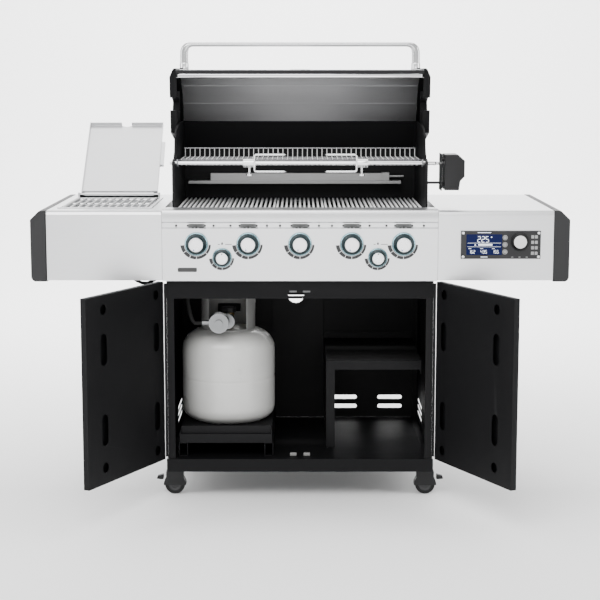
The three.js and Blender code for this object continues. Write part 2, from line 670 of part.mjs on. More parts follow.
add('controller_housing', controllerHousing(), GREY_PLASTIC);
add('controller_dial', controllerDial(), BLACK_PLASTIC);
BUTTON_Z.forEach((z, i) => {
  add(`controller_button_${i + 1}`, rod('y', 5, -9.5, -3.4, [BUTTON_X, z], 16), BLACK_PLASTIC);
});

// ---------------------------------------------------------------- side burner

function sideBurner() {
  const [x0, x1] = [SIDE_BURNER_LEFT + 2, SIDE_BURNER_RIGHT - 2];
  const [y0, y1] = [SIDE_BURNER_FRONT + 2, SIDE_BURNER_REAR - 2];
  const bottom = SHELF_TOP - 92;
  const deck = SHELF_TOP + GAP;
  const bowl = join(block(x0, x1, y0, y1, bottom, deck + 1), block(x0 - 8, x1 + 8, y0 - 8, y1 + 18,
    deck, deck + 2.5));
  const hollow = block(x0 + 2, x1 - 2, y0 + 2, y1 - 2, bottom + 2, deck + 4);
  const mid = [(x0 + x1) / 2, (y0 + y1) / 2];
  const head = join(rod('z', 46, bottom + 42, bottom + 64, mid, 28), rod('z', 14, bottom, bottom + 43, mid));
  const ears = [x0 + 2, x1 - 8].map((x) => block(x, x + 6, y1 + 8, y1 + 18, deck + 1, SIDE_LID_HINGE_Z + 6));
  const pin = rod('x', 3, x0 + 3, x1 - 3, [SIDE_LID_HINGE_Y, SIDE_LID_HINGE_Z], 12);
  const stub = rod('z', 9, bottom - 6, bottom + 1, [-590, 272], 12);
  return join(cut(bowl, hollow), head, ...ears, pin, cut(stub, block(-600, -580, 262, 282, 700, bottom - 4)));
}

function sideGrate() {
  const [x0, x1] = [SIDE_BURNER_LEFT + 8, SIDE_BURNER_RIGHT - 10];
  const [y0, y1] = [SIDE_BURNER_FRONT + 6, SIDE_BURNER_REAR - 6];
  const top = SHELF_TOP + 5.5;
  const count = 11;
  const pitch = (x1 - x0 - 6) / (count - 1);
  const bars = Array.from({ length: count }, (_, i) => block(x0 + i * pitch, x0 + i * pitch + 6, y0, y1,
    top - 6, top));
  const ties = [y0 + 8, (y0 + y1) / 2, y1 - 14].map((y) => block(x0, x1, y, y + 6, top - 11, top - 5));
  const feet = [x0, x1 - 6].flatMap((x) => [y0 + 8, y1 - 14].map((y) => block(x, x + 6, y, y + 6,
    SHELF_TOP - 92 + 2 + GAP, top - 8)));
  return join(...bars, ...ties, ...feet);
}

// Drawn closed over the grate.
function sideLid() {
  const [x0, x1] = [SIDE_BURNER_LEFT + 13, SIDE_BURNER_RIGHT - 13];
  const front = SIDE_LID_HINGE_Y - SIDE_LID_LENGTH;
  const [z0, z1] = [SHELF_TOP + 7, SHELF_TOP + 22];
  const rear = SIDE_LID_HINGE_Y - 9;
  const pan = cut(block(x0, x1, front, rear, z0, z1), block(x0 + 2, x1 - 2, front + 2, rear - 2,
    z0 - 1, z1 - 2));
  const dip = rod('z', 26, z0 - 1, z1 + 1, [(x0 + x1) / 2, front - 18], 28);
  const barrel = cut(
    join(rod('x', 6, x0 + 12, x1 - 12, [SIDE_LID_HINGE_Y, SIDE_LID_HINGE_Z], 16),
      block(x0 + 12, x1 - 12, rear - 2, SIDE_LID_HINGE_Y - 2, SIDE_LID_HINGE_Z, SIDE_LID_HINGE_Z + 5)),
    rod('x', 3 + RUNNING, x0, x1, [SIDE_LID_HINGE_Y, SIDE_LID_HINGE_Z], 12));
  const handle = block(x1 - 1, x1 + 12, front + 95, front + 205, z0 + 2, z1 - 2);
  return join(cut(pan, dip), barrel, handle);
}

add('side_burner', sideBurner(), STAINLESS);
add('side_grate', sideGrate(), CHROME);
const sideSwing = pivot(0, SIDE_LID_HINGE_Y, SIDE_LID_HINGE_Z);
sideSwing.outer.rotation.x = -deg(SIDE_LID_OPEN);
add('side_lid', sideLid(), STAINLESS, sideSwing.inner);

// ---------------------------------------------------------------- firebox

const SPIT_CLEAR = SPIT_RADIUS + 2 * RUNNING;

function firebox() {
  const [y0, y1] = [FIREBOX_FRONT, FIREBOX_REAR];
  const inner = FIREBOX_HALF - FIREBOX_WALL;
  const bowl = cut(
    block(-FIREBOX_HALF, FIREBOX_HALF, y0, y1, FIREBOX_BOTTOM, FIREBOX_RIM),
    block(-inner, inner, y0 + FIREBOX_WALL, y1 - FIREBOX_WALL, FIREBOX_BOTTOM + 6, FIREBOX_RIM + 1),
    block(-70, 70, y0 + 150, y1 - 150, FIREBOX_BOTTOM - 1, FIREBOX_BOTTOM + 7),
    ...BIG_KNOBS.map((x) => rod('y', 20, y0 - 1, y0 + 8, [x, KNOB_Z], 12)));
  const wing = outline([
    [95, FIREBOX_RIM - 2], [95, 1032], [SPIT_Y - 12, 1040], [SPIT_Y - SPIT_CLEAR, SPIT_Z],
    [SPIT_Y - SPIT_CLEAR * 0.7, SPIT_Z - SPIT_CLEAR * 0.7], [SPIT_Y, SPIT_Z - SPIT_CLEAR],
    [SPIT_Y + SPIT_CLEAR * 0.7, SPIT_Z - SPIT_CLEAR * 0.7], [SPIT_Y + SPIT_CLEAR, SPIT_Z],
    [SPIT_Y + 14, 1046], [180, 1058], [192, 1078], [192, 1106], [230, 1126], [330, 1139],
    [500, 1144], [y1, 1050], [y1, FIREBOX_RIM - 2],
  ]);
  const wings = [-FIREBOX_HALF, inner].map((x) => slabX(wing, x, x + FIREBOX_WALL));
  const back = slabX(outline([
    [y1 - 7, FIREBOX_RIM - 2], [y1, FIREBOX_RIM - 2], [y1, 1050], [500, 1144], [493, 1142], [y1 - 7, 1048],
  ]), -FIREBOX_HALF + 1, FIREBOX_HALF - 1);
  const flange = block(-FIREBOX_HALF, FIREBOX_HALF, PANEL_DEPTH + GAP, y0 + 1, FIREBOX_RIM - 5, FIREBOX_RIM);
  const ledges = [y0 + 5, y1 - 19].map((y) => block(-inner - 1, inner + 1, y, y + 14, GRID_TOP - 20,
    GRID_TOP - 16 - GAP));
  const pins = [[-1, -LID_CAP_OUTER + 4, -FIREBOX_HALF + 1], [1, FIREBOX_HALF - 1, LID_CAP_OUTER - 4]].map(
    ([, from, to]) => rod('x', PIN_RADIUS, from, to, [HINGE_Y, HINGE_Z], 20));
  const pegs = [-inner - 1, inner - 13].flatMap((x) => [RACK_FRONT + 24, RACK_REAR - 36].map(
    (y) => block(x, x + 14, y, y + 12, RACK_Z - 16, RACK_Z - 8 - GAP)));
  const runners = [-134, 131].map((x) => {
    const foot = x < 0 ? [x, x + 12] : [x - 9, x + 3];
    return join(block(x, x + 3, 190, 470, 682, FIREBOX_BOTTOM + 1), block(...foot, 190, 470, 681, 684));
  });
  const legs = [-FIREBOX_HALF, FIREBOX_HALF - 20].flatMap((x) => [y0 + 10, y1 - 40].map(
    (y) => block(x, x + 20, y, y + 30, CABINET_TOP + GAP, FIREBOX_BOTTOM + 1)));
  return join(bowl, ...wings, back, flange, ...ledges, ...pins, ...pegs, ...runners, ...legs);
}

// Manifold with its seven valves, the five tube burners it feeds and the flame tamers over them.
function burnerSet() {
  const pipe = rod('x', 12, -340, 340, [46, 771], 16);
  const valves = [...BIG_KNOBS.map((x) => [x, KNOB_Z]), ...SMALL_KNOBS.map((x) => [x, SMALL_KNOB_Z])];
  const bodies = valves.flatMap(([x, z]) => [
    block(x - 12, x + 12, 30, 56, Math.min(z, 771) - 8, Math.max(z, 771) + 8),
    rod('y', VALVE_STEM, STEM_FRONT, 31, [x, z], 8),
  ]);
  const tubes = BIG_KNOBS.flatMap((x) => [
    rod('y', 14, 55, FIREBOX_REAR - 24, [x, KNOB_Z], 12),
    block(x - 2, x + 2, 160, 172, KNOB_Z, 848), block(x - 2, x + 2, 460, 472, KNOB_Z, 848),
    slabY(outline([[x - 52, 822], [x, 850], [x + 52, 822], [x + 52, 819], [x, 847], [x - 52, 819]]),
      110, FIREBOX_REAR - 30),
  ]);
  const inlet = rod('z', 9, 694 + 8 + GAP, 772, [-335, 46], 12);
  return join(pipe, ...bodies, ...tubes, inlet);
}

function cookingGrid() {
  const wide = FIREBOX_HALF - FIREBOX_WALL - 2;
  const count = GRID_COUNT * BARS_PER_GRID;
  const pitch = (2 * wide - GRID_BAR) / (count - 1);
  const [y0, y1] = [FIREBOX_FRONT + 8, FIREBOX_REAR - 8];
  const bars = Array.from({ length: count }, (_, i) => block(-wide + i * pitch, -wide + i * pitch + GRID_BAR,
    y0, y1, GRID_TOP - 9, GRID_TOP));
  const ties = [y0, (y0 + y1) / 2, y1 - 8].map((y) => block(-wide, wide, y, y + 8, GRID_TOP - 16,
    GRID_TOP - 8));
  return join(...bars, ...ties);
}

function greaseTray() {
  const wide = 128;
  return cut(block(-wide, wide, 196, 466, 684 + GAP, 702), block(-wide + 2, wide - 2, 198, 464, 687, 703));
}

function warmingRack() {
  const count = 18;
  const pitch = (2 * RACK_HALF - 4) / (count - 1);
  const wires = Array.from({ length: count }, (_, i) => {
    const x = -RACK_HALF + i * pitch;
    return join(block(x, x + 4, RACK_FRONT, RACK_REAR, RACK_Z - 4, RACK_Z),
      block(x, x + 4, RACK_REAR - 4, RACK_REAR, RACK_Z - 4, RACK_Z + 26));
  });
  const rails = [RACK_FRONT, (RACK_FRONT + RACK_REAR) / 2, RACK_REAR - 6].map(
    (y) => block(-RACK_HALF, RACK_HALF, y, y + 6, RACK_Z - 8, RACK_Z - 3));
  const fence = block(-RACK_HALF, RACK_HALF, RACK_REAR - 4, RACK_REAR, RACK_Z + 22, RACK_Z + 26);
  const ends = [-RACK_HALF - 5, RACK_HALF - 1].map((x) => block(x, x + 6, RACK_FRONT, RACK_REAR,
    RACK_Z - 8, RACK_Z - 3));
  return join(...wires, ...rails, fence, ...ends);
}

function rearBurner() {
  const y = FIREBOX_REAR - 8 - GAP;
  return join(block(-370, 335, y - 46, y, 937, 947), block(-297, 272, y - 36, y, 946, 971),
    block(271, 297, y - 30, y - 4, 946, 973), rod('x', 4, 296, 345, [y - 16, 960], 12));
}

add('firebox', firebox(), CAST_BLACK);
add('burner_set', burnerSet(), STAINLESS);
add('cooking_grid', cookingGrid(), CAST_IRON);
add('grease_tray', greaseTray(), STAINLESS);
add('warming_rack', warmingRack(), CHROME);
add('rear_burner', rearBurner(), STAINLESS);

// ---------------------------------------------------------------- rotisserie

const FORK_X = 171;
const FORK_HUB = 19;
const FORK_SHIFT = 34;          // the left fork is clamped nearer the middle
const TINE_LENGTH = 88;

function spitRod() {
  const at = [SPIT_Y, SPIT_Z];
  return join(rod('x', SPIT_RADIUS, SPIT_LEFT, SPIT_RIGHT, at, 16),
    rod('x', 12, -FIREBOX_HALF + FIREBOX_WALL + 4, -FIREBOX_HALF + FIREBOX_WALL + 9, at, 20),
    rod('x', 12, FIREBOX_HALF - FIREBOX_WALL - 9, FIREBOX_HALF - FIREBOX_WALL - 4, at, 20));
}

// A fork on the right-hand side, its tines pointing to the middle.
function spitFork() {
  const hub = rod('x', 14, FORK_X, FORK_X + 2 * FORK_HUB, [SPIT_Y, SPIT_Z], 20);
  const bar = block(FORK_X, FORK_X + 6, SPIT_Y - 3, SPIT_Y + 3, SPIT_Z - 30, SPIT_Z + 30);
  const cross = block(FORK_X, FORK_X + 6, SPIT_Y - 30, SPIT_Y + 30, SPIT_Z - 3, SPIT_Z + 3);
  const tines = [[-27, 0], [27, 0], [0, -27], [0, 27]].map(
    ([y, z]) => rod('x', 1, FORK_X - TINE_LENGTH, FORK_X + 3, [SPIT_Y + y, SPIT_Z + z], 8, 2.6));
  const screw = join(rod('z', 4, SPIT_Z - 34, SPIT_Z - 10, [FORK_X + FORK_HUB, SPIT_Y], 10),
    rod('z', 9, SPIT_Z - 40, SPIT_Z - 32, [FORK_X + FORK_HUB, SPIT_Y], 10));
  const bore = rod('x', SPIT_RADIUS + RUNNING, FORK_X - 5, FORK_X + 2 * FORK_HUB + 5, [SPIT_Y, SPIT_Z], 16);
  return cut(join(hub, bar, cross, ...tines, screw), bore);
}

function spitMotor() {
  const y0 = SPIT_Y - 48;
  const y1 = SPIT_Y + 48;
  const body = slabY(outline([
    [MOTOR_LEFT, 946], [MOTOR_RIGHT - 17, 946], [MOTOR_RIGHT - 13, 974], [MOTOR_RIGHT, 988],
    [MOTOR_RIGHT, 1036], [MOTOR_RIGHT - 20, 1054], [MOTOR_LEFT, 1054],
  ]), y0, y1);
  const plate = block(431, 434, y0 + 10, y1 - 10, 944, 1056);
  const feet = [[y0 + 22, 962], [y1 - 22, 962], [y0 + 22, 1038], [y1 - 22, 1038]].map(
    (at) => rod('x', 5, 433, MOTOR_LEFT + 1, at, 12));
  const link = block(FIREBOX_HALF + GAP, 432, SPIT_Y - 12, SPIT_Y + 8, 963, 970);
  const foot = block(FIREBOX_HALF + GAP, FIREBOX_HALF + 2.4, SPIT_Y - 12, SPIT_Y + 8, 963, 990);
  const socket = rod('x', SPIT_RADIUS + RUNNING, 420, SPIT_RIGHT + GAP + 1, [SPIT_Y, SPIT_Z], 16);
  return cut(join(body, plate, ...feet, link, foot), socket);
}

add('spit_rod', spitRod(), CHROME);
add('spit_fork_right', spitFork(), CHROME);
add('spit_fork_left', mirrorX(spitFork()).translate(FORK_SHIFT, 0, 0), CHROME);
add('spit_motor', spitMotor(), BLACK_PLASTIC);

// ---------------------------------------------------------------- lid

// The lid is drawn closed, then turned back about its pivot.
const LID_INNER = LID_CAP_INNER - GAP;

function lidProfile(inset) {
  const front = LID_FRONT + inset;
  const top = LID_TOP - inset;
  const centre = [LID_FRONT + LID_CURVE, LID_TOP - LID_CURVE];
  const radius = LID_CURVE - inset;
  const points = [[front, LID_BOTTOM]];
  for (let step = 0; step <= 6; step += 1) {
    const angle = (step / 6) * (Math.PI / 2);
    points.push([centre[0] - radius * Math.cos(angle), centre[1] + radius * Math.sin(angle)]);
  }
  points.push([LID_REAR, top]);
  return points;
}

function lidShell() {
  const ring = outline([...lidProfile(0), ...lidProfile(LID_DEPTH).reverse()]);
  const outer = lidProfile(SHEET);
  const inner = lidProfile(LID_DEPTH - SHEET).reverse();
  outer[0][1] += SHEET;
  inner[inner.length - 1][1] += SHEET;
  outer[outer.length - 1][0] -= SHEET;
  inner[0][0] -= SHEET;
  return cut(slabX(ring, -LID_INNER, LID_INNER),
    slabX(outline([...outer, ...inner]), -LID_INNER - 1, LID_INNER + 1));
}

function lidCap() {
  const plate = outline([
    [46, 918], [235, 952], [262, 1080], [330, 1040], [350, 950], [370, 932], [400, 932], [420, 950],
    [LID_REAR - 4, 1050], [LID_REAR - 4, LID_TOP + 3], [LID_FRONT + LID_CURVE, LID_TOP + 3],
    [LID_FRONT + 64, LID_TOP - 42], [LID_FRONT + 16, LID_TOP - 110], [LID_FRONT - 4, LID_TOP - 172],
    [LID_FRONT - 4, 922],
  ]);
  const bulge = outline([
    [LID_FRONT + 2, 918], [235, 952], [262, 1090], [300, 1112], [LID_REAR - 14, 1118], [LID_REAR - 14, LID_TOP - 8],
    [LID_FRONT + LID_CURVE, LID_TOP - 8], [LID_FRONT + 72, LID_TOP - 52], [LID_FRONT + 26, LID_TOP - 116],
    [LID_FRONT - 2, LID_TOP - 176], [LID_FRONT - 2, 922],
  ]);
  const pocket = outline([
    [56, 932], [104, 940], [104, 1070], [230, 1080], [300, 1124], [LID_REAR - 24, 1128],
    [LID_REAR - 24, LID_TOP - 20], [LID_FRONT + LID_CURVE, LID_TOP - 20],
    [LID_FRONT + 80, LID_TOP - 62], [LID_FRONT + 36, LID_TOP - 122], [LID_FRONT + 20, LID_TOP - 180],
  ]);
  const chamfer = slabZ(outline([
    [LID_CAP_PLATE + 1, LID_FRONT - 5], [LID_CAP_OUTER + 1, LID_FRONT - 5], [LID_CAP_OUTER + 1, LID_FRONT + 26],
  ]), 900, LID_TOP - 100);
  const notch = new THREE.Shape();
  const [near, far] = [222, 264];
  notch.absarc(HINGE_Y, HINGE_Z, far, deg(180 - 20), deg(180 + 20), false);
  notch.absarc(HINGE_Y, HINGE_Z, near, deg(180 + 20), deg(180 - 20), true);
  notch.closePath();
  return cut(join(slabX(plate, LID_CAP_INNER, LID_CAP_PLATE), slabX(bulge, LID_CAP_PLATE - 1, LID_CAP_OUTER)),
    slabX(pocket, LID_CAP_INNER - 1, LID_CAP_OUTER - 4), chamfer, slabX(notch, LID_CAP_INNER - 1, LID_CAP_OUTER + 1, 10),
    rod('x', PIN_RADIUS + RUNNING, LID_CAP_INNER - 1, LID_CAP_OUTER + 1, [HINGE_Y, HINGE_Z], 20));
}

function lidHandle() {
  const y = LID_FRONT - 76;
  const z = 968;
  const reach = 371;
  const radius = 9;
  const bend = 58;
  const bar = tube([
    [-reach, LID_FRONT - 10, z], [-reach, y + bend, z], [-reach + bend * 0.29, y + bend * 0.29, z],
    [-reach + bend, y, z], [-reach + 3 * bend, y, z], [reach - 3 * bend, y, z], [reach - bend, y, z],
    [reach - bend * 0.29, y + bend * 0.29, z], [reach, y + bend, z], [reach, LID_FRONT - 10, z],
  ], radius, 28, 10);
  const feet = [-reach, reach].map((x) => rod('y', 15, LID_FRONT - 34, LID_FRONT - GAP, [x, z], 20));
  return join(bar, ...feet);
}

const lid = pivot(0, HINGE_Y, HINGE_Z);
lid.outer.rotation.x = -deg(LID_OPEN);
add('lid_shell', lidShell(), STAINLESS, lid.inner);
add('lid_cap_right', lidCap(), CAST_BLACK, lid.inner);
add('lid_cap_left', mirrorX(lidCap()), CAST_BLACK, lid.inner);
add('lid_handle', lidHandle(), STAINLESS, lid.inner);

// ---------------------------------------------------------------- footprint centred on the origin

grill.updateMatrixWorld(true);
const footprint = new THREE.Box3();
grill.traverse((piece) => {
  if (piece.isMesh) {
    footprint.expandByObject(piece, true);
  }
});
grill.position.y = -(footprint.min.y + footprint.max.y) / 2;
grill.updateMatrixWorld(true);

export default grill;
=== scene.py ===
"""A freestanding gas barbecue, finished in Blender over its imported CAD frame."""

import math

import bmesh
import bpy
from mathutils import Matrix, Vector


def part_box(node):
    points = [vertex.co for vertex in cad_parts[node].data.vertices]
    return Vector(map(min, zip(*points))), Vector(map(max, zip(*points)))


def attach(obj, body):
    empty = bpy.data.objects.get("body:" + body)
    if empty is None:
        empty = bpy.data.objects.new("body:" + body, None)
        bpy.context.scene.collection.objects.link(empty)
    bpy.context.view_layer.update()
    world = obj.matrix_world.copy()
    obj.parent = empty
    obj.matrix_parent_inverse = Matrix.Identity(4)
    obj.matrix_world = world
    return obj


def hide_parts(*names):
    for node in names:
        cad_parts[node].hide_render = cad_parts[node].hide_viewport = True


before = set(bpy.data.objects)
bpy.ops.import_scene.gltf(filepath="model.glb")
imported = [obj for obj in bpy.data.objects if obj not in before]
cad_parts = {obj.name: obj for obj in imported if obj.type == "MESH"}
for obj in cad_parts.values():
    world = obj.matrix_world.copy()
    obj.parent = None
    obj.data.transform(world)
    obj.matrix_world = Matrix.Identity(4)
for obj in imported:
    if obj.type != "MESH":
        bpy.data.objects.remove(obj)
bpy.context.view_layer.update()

# ---------------------------------------------------------------- camera
# The view is square on to the front, a little above the open lid's edge and tipped slightly down.
# Y_FRONT is where the front of the side shelves lies in the frame's own Y.

Y_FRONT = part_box("shelf_left")[0][1]
camera_data = bpy.data.cameras.new("camera")
camera_data.lens = 91.5
camera_data.sensor_width = 36
camera = bpy.data.objects.new("camera", camera_data)
camera.location = (0, Y_FRONT - 4.555, 1.298)
camera.rotation_euler = (math.radians(90 - 8.44), 0, 0)
bpy.context.scene.collection.objects.link(camera)
bpy.context.scene.camera = camera

# ---------------------------------------------------------------- floor and light
# A plain pale sweep for a floor and backdrop, one broad soft light above the front, one on
# each side for the edges of the steel, and an even pale sky.


def put(name, mesh, material=None):
    obj = bpy.data.objects.new(name, mesh)
    bpy.context.scene.collection.objects.link(obj)
    if material is not None:
        mesh.materials.append(material)
    return obj


def sweep_mesh(half_width, front, back, height, bend):
    mesh = bpy.data.meshes.new("sweep")
    line = [(front, 0.0)]
    for step in range(13):
        angle = step / 12 * math.pi / 2
        line.append((back - bend + bend * math.sin(angle), bend - bend * math.cos(angle)))
    line.append((back, height))
    verts = [(x, y, z) for y, z in line for x in (-half_width, half_width)]
    faces = [(2 * i, 2 * i + 1, 2 * i + 3, 2 * i + 2) for i in range(len(line) - 1)]
    mesh.from_pydata(verts, [], faces)
    for polygon in mesh.polygons:
        polygon.use_smooth = True
    return mesh


backdrop_paint = bpy.data.materials.new("backdrop_paint")
backdrop_paint.use_nodes = True
backdrop_shader = backdrop_paint.node_tree.nodes["Principled BSDF"]
backdrop_shader.inputs["Base Color"].default_value = (0.97, 0.97, 0.97, 1)
backdrop_shader.inputs["Roughness"].default_value = 0.9
backdrop_shader.inputs["Specular IOR Level"].default_value = 0.1
backdrop = put("backdrop", sweep_mesh(9, -9, 7, 8, 2.5), backdrop_paint)


def soft_light(name, size, power, place, target):
    data = bpy.data.lights.new(name, "AREA")
    data.shape = "RECTANGLE"
    data.size, data.size_y = size
    data.energy = power
    lamp = bpy.data.objects.new(name, data)
    lamp.location = place
    lamp.rotation_euler = (Vector(target) - Vector(place)).to_track_quat("-Z", "Y").to_euler()
    bpy.context.scene.collection.objects.link(lamp)


soft_light("key_light", (4.0, 2.5), 190, (-1.2, -3.6, 4.2), (0, 0, 0.7))
soft_light("left_light", (1.6, 3.2), 70, (-4.0, -1.2, 1.8), (0, 0, 0.8))
soft_light("right_light", (1.6, 3.2), 70, (4.0, -1.2, 1.8), (0, 0, 0.8))
soft_light("top_light", (3.5, 2.5), 70, (0, 0.6, 4.6), (0, 0, 0.8))
soft_light("low_light", (3.0, 1.0), 24, (0, -4.2, 0.6), (0, 0, 0.4))
soft_light("backdrop_light", (6.0, 2.0), 900, (0, 2.6, 4.4), (0, 6.6, 1.6))

sky = bpy.data.worlds.new("sky")
sky.use_nodes = True
sky.node_tree.nodes["Background"].inputs["Color"].default_value = (1, 1, 1, 1)
sky.node_tree.nodes["Background"].inputs["Strength"].default_value = 1.15
bpy.context.scene.world = sky

# ---------------------------------------------------------------- steel skins
# Brushed stainless sheet: the panel, the shelves, the lid's skin and handle. The brushing is a
# fine streak along the sheet, with faint cloudy wear and smears over it.


def group_tree(name, values_in, sockets_out):
    tree = bpy.data.node_groups.new(name, "ShaderNodeTree")
    for label, kind, value in values_in:
        socket = tree.interface.new_socket(label, in_out="INPUT", socket_type=kind)
        socket.default_value = value
    for label, kind in sockets_out:
        tree.interface.new_socket(label, in_out="OUTPUT", socket_type=kind)
    return tree, tree.nodes.new("NodeGroupInput"), tree.nodes.new("NodeGroupOutput")


def math_node(tree, operation, first, second=None, clamp=False):
    node = tree.nodes.new("ShaderNodeMath")
    node.operation = operation
    node.use_clamp = clamp
    for socket, value in zip(node.inputs, (first, second)):
        if isinstance(value, (int, float)):
            socket.default_value = value
        elif value is not None:
            tree.links.new(value, socket)
    return node.outputs[0]


def noise_node(tree, vector, scale, detail=3.0, roughness=0.5):
    node = tree.nodes.new("ShaderNodeTexNoise")
    tree.links.new(vector, node.inputs["Vector"])
    for label, value in (("Scale", scale), ("Detail", detail), ("Roughness", roughness)):
        if isinstance(value, (int, float)):
            node.inputs[label].default_value = value
        else:
            tree.links.new(value, node.inputs[label])
    return node.outputs["Fac"]


def mix_colour(tree, factor, first, second):
    node = tree.nodes.new("ShaderNodeMix")
    node.data_type = "RGBA"
    for socket, value in ((node.inputs[0], factor), (node.inputs[6], first), (node.inputs[7], second)):
        if isinstance(value, (int, float, tuple)):
            socket.default_value = value
        else:
            tree.links.new(value, socket)
    return node.outputs[2]


# Streaks: noise pulled out along one axis of the piece, with a broad cloudy smear beside it.
streak_tree, streak_in, streak_out = group_tree(
    "brushed_streaks",
    [("Pull", "NodeSocketVector", (1, 1, 1)), ("Fine", "NodeSocketFloat", 900.0)],
    [("Streak", "NodeSocketFloat"), ("Cloud", "NodeSocketFloat")])
streak_place = streak_tree.nodes.new("ShaderNodeTexCoord")
streak_pull = streak_tree.nodes.new("ShaderNodeVectorMath")
streak_pull.operation = "MULTIPLY"
streak_tree.links.new(streak_place.outputs["Object"], streak_pull.inputs[0])
streak_tree.links.new(streak_in.outputs["Pull"], streak_pull.inputs[1])
streak_tree.links.new(
    noise_node(streak_tree, streak_pull.outputs[0], streak_in.outputs["Fine"], 4, 0.6),
    streak_out.inputs["Streak"])
streak_tree.links.new(
    noise_node(streak_tree, streak_place.outputs["Object"], 4.0, 3, 0.55), streak_out.inputs["Cloud"])

# Grain: a fine even texture for powder coat, castings and moulded plastic, with grime that
# gathers softly, and a light line along convex edges.
grain_tree, grain_in, grain_out = group_tree(
    "surface_grain",
    [("Scale", "NodeSocketFloat", 900.0)],
    [("Grain", "NodeSocketFloat"), ("Cloud", "NodeSocketFloat"), ("Edge", "NodeSocketFloat")])
grain_place = grain_tree.nodes.new("ShaderNodeTexCoord")
grain_tree.links.new(
    noise_node(grain_tree, grain_place.outputs["Object"], grain_in.outputs["Scale"], 3, 0.6),
    grain_out.inputs["Grain"])
grain_tree.links.new(
    noise_node(grain_tree, grain_place.outputs["Object"], 6.0, 4, 0.6), grain_out.inputs["Cloud"])
grain_geometry = grain_tree.nodes.new("ShaderNodeNewGeometry")
grain_tree.links.new(
    math_node(grain_tree, "MULTIPLY",
              math_node(grain_tree, "SUBTRACT", grain_geometry.outputs["Pointiness"], 0.53), 9.0, True),
    grain_out.inputs["Edge"])


def ranged(tree, value, low, high):
    node = tree.nodes.new("ShaderNodeMapRange")
    node.inputs["To Min"].default_value = low
    node.inputs["To Max"].default_value = high
    tree.links.new(value, node.inputs["Value"])
    return node.outputs["Result"]


def bump_to(tree, shader, height, strength, distance):
    bump = tree.nodes.new("ShaderNodeBump")
    bump.inputs["Strength"].default_value = strength
    bump.inputs["Distance"].default_value = distance
    tree.links.new(height, bump.inputs["Height"])
    tree.links.new(bump.outputs["Normal"], shader.inputs["Normal"])


def tune(material, **values):
    """Sets inputs of a material's shader; a word of an input's name is joined with _ here."""
    inputs = material.node_tree.nodes["Principled BSDF"].inputs
    for label, value in values.items():
        inputs[label.replace("_", " ")].default_value = value


def new_material(name, metallic=0.0):
    material = bpy.data.materials.new(name)
    material.use_nodes = True
    shader = material.node_tree.nodes["Principled BSDF"]
    shader.inputs["Metallic"].default_value = metallic
    return material, material.node_tree, shader


def brushed_metal(name, light, dark, rough, pull=(1, 40, 40), fine=30.0, bump=0.06):
    """Brushed metal whose streaks run along the axis that `pull` keeps at 1."""
    material, tree, shader = new_material(name, 1.0)
    streaks = tree.nodes.new("ShaderNodeGroup")
    streaks.node_tree = streak_tree
    streaks.inputs["Pull"].default_value = pull
    streaks.inputs["Fine"].default_value = fine
    shade = mix_colour(tree, streaks.outputs["Streak"], (*dark, 1), (*light, 1))
    tree.links.new(shade, shader.inputs["Base Color"])
    both = math_node(tree, "ADD", math_node(tree, "MULTIPLY", streaks.outputs["Streak"], 0.5),
                     math_node(tree, "MULTIPLY", streaks.outputs["Cloud"], 0.5))
    tree.links.new(ranged(tree, both, rough[0], rough[1]), shader.inputs["Roughness"])
    bump_to(tree, shader, streaks.outputs["Streak"], bump, 0.0004)
    return material


def grained(name, colour, rough, scale=900.0, bump=0.12, edge=0.5, metallic=0.0, lift=1.6):
    """Powder coat, casting or plastic: `colour` with grain, soft grime and lighter edges."""
    material, tree, shader = new_material(name, metallic)
    grain = tree.nodes.new("ShaderNodeGroup")
    grain.node_tree = grain_tree
    grain.inputs["Scale"].default_value = scale
    low = tuple(0.86 * c for c in colour)
    high = tuple(min(1.0, 1.14 * c) for c in colour)
    worn = tuple(min(1.0, lift * c + 0.01) for c in colour)
    base = mix_colour(tree, grain.outputs["Cloud"], (*low, 1), (*high, 1))
    rubbed = mix_colour(tree, math_node(tree, "MULTIPLY", grain.outputs["Edge"], edge), base, (*worn, 1))
    tree.links.new(rubbed, shader.inputs["Base Color"])
    tree.links.new(ranged(tree, grain.outputs["Cloud"], rough[0], rough[1]), shader.inputs["Roughness"])
    bump_to(tree, shader, grain.outputs["Grain"], bump, 0.0005)
    return material


stainless = brushed_metal("stainless", (0.76, 0.765, 0.775), (0.66, 0.665, 0.675), (0.26, 0.40))
stainless_deep = brushed_metal("stainless_deep", (0.70, 0.705, 0.71), (0.60, 0.60, 0.61), (0.24, 0.4),
                               pull=(40, 1, 40))
liner_steel = brushed_metal("liner_steel", (0.60, 0.60, 0.61), (0.52, 0.52, 0.53), (0.36, 0.5),
                            pull=(1, 14, 14))
tune(liner_steel, Metallic=0.3)
chrome = brushed_metal("chrome", (0.90, 0.905, 0.91), (0.84, 0.845, 0.85), (0.06, 0.16), bump=0.01)
black_steel = grained("black_steel", (0.0045, 0.0045, 0.005), (0.42, 0.6), 1400, 0.08, 0.4)
cast_black = grained("cast_black", (0.0055, 0.0055, 0.006), (0.45, 0.62), 500, 0.35, 0.5)
grey_plastic = grained("grey_plastic", (0.018, 0.018, 0.019), (0.46, 0.6), 1600, 0.12, 0.3)
black_plastic = grained("black_plastic", (0.010, 0.010, 0.0105), (0.38, 0.55), 1600, 0.08, 0.3)
rubber = grained("rubber", (0.011, 0.011, 0.011), (0.6, 0.8), 800, 0.25, 0.2)
for material, specular in ((black_steel, 0.10), (cast_black, 0.10), (grey_plastic, 0.30),
                           (black_plastic, 0.22), (rubber, 0.2)):
    tune(material, Specular_IOR_Level=specular)
grid_steel = brushed_metal("grid_steel", (0.17, 0.17, 0.175), (0.06, 0.06, 0.063), (0.28, 0.46),
                           pull=(8, 1, 8))
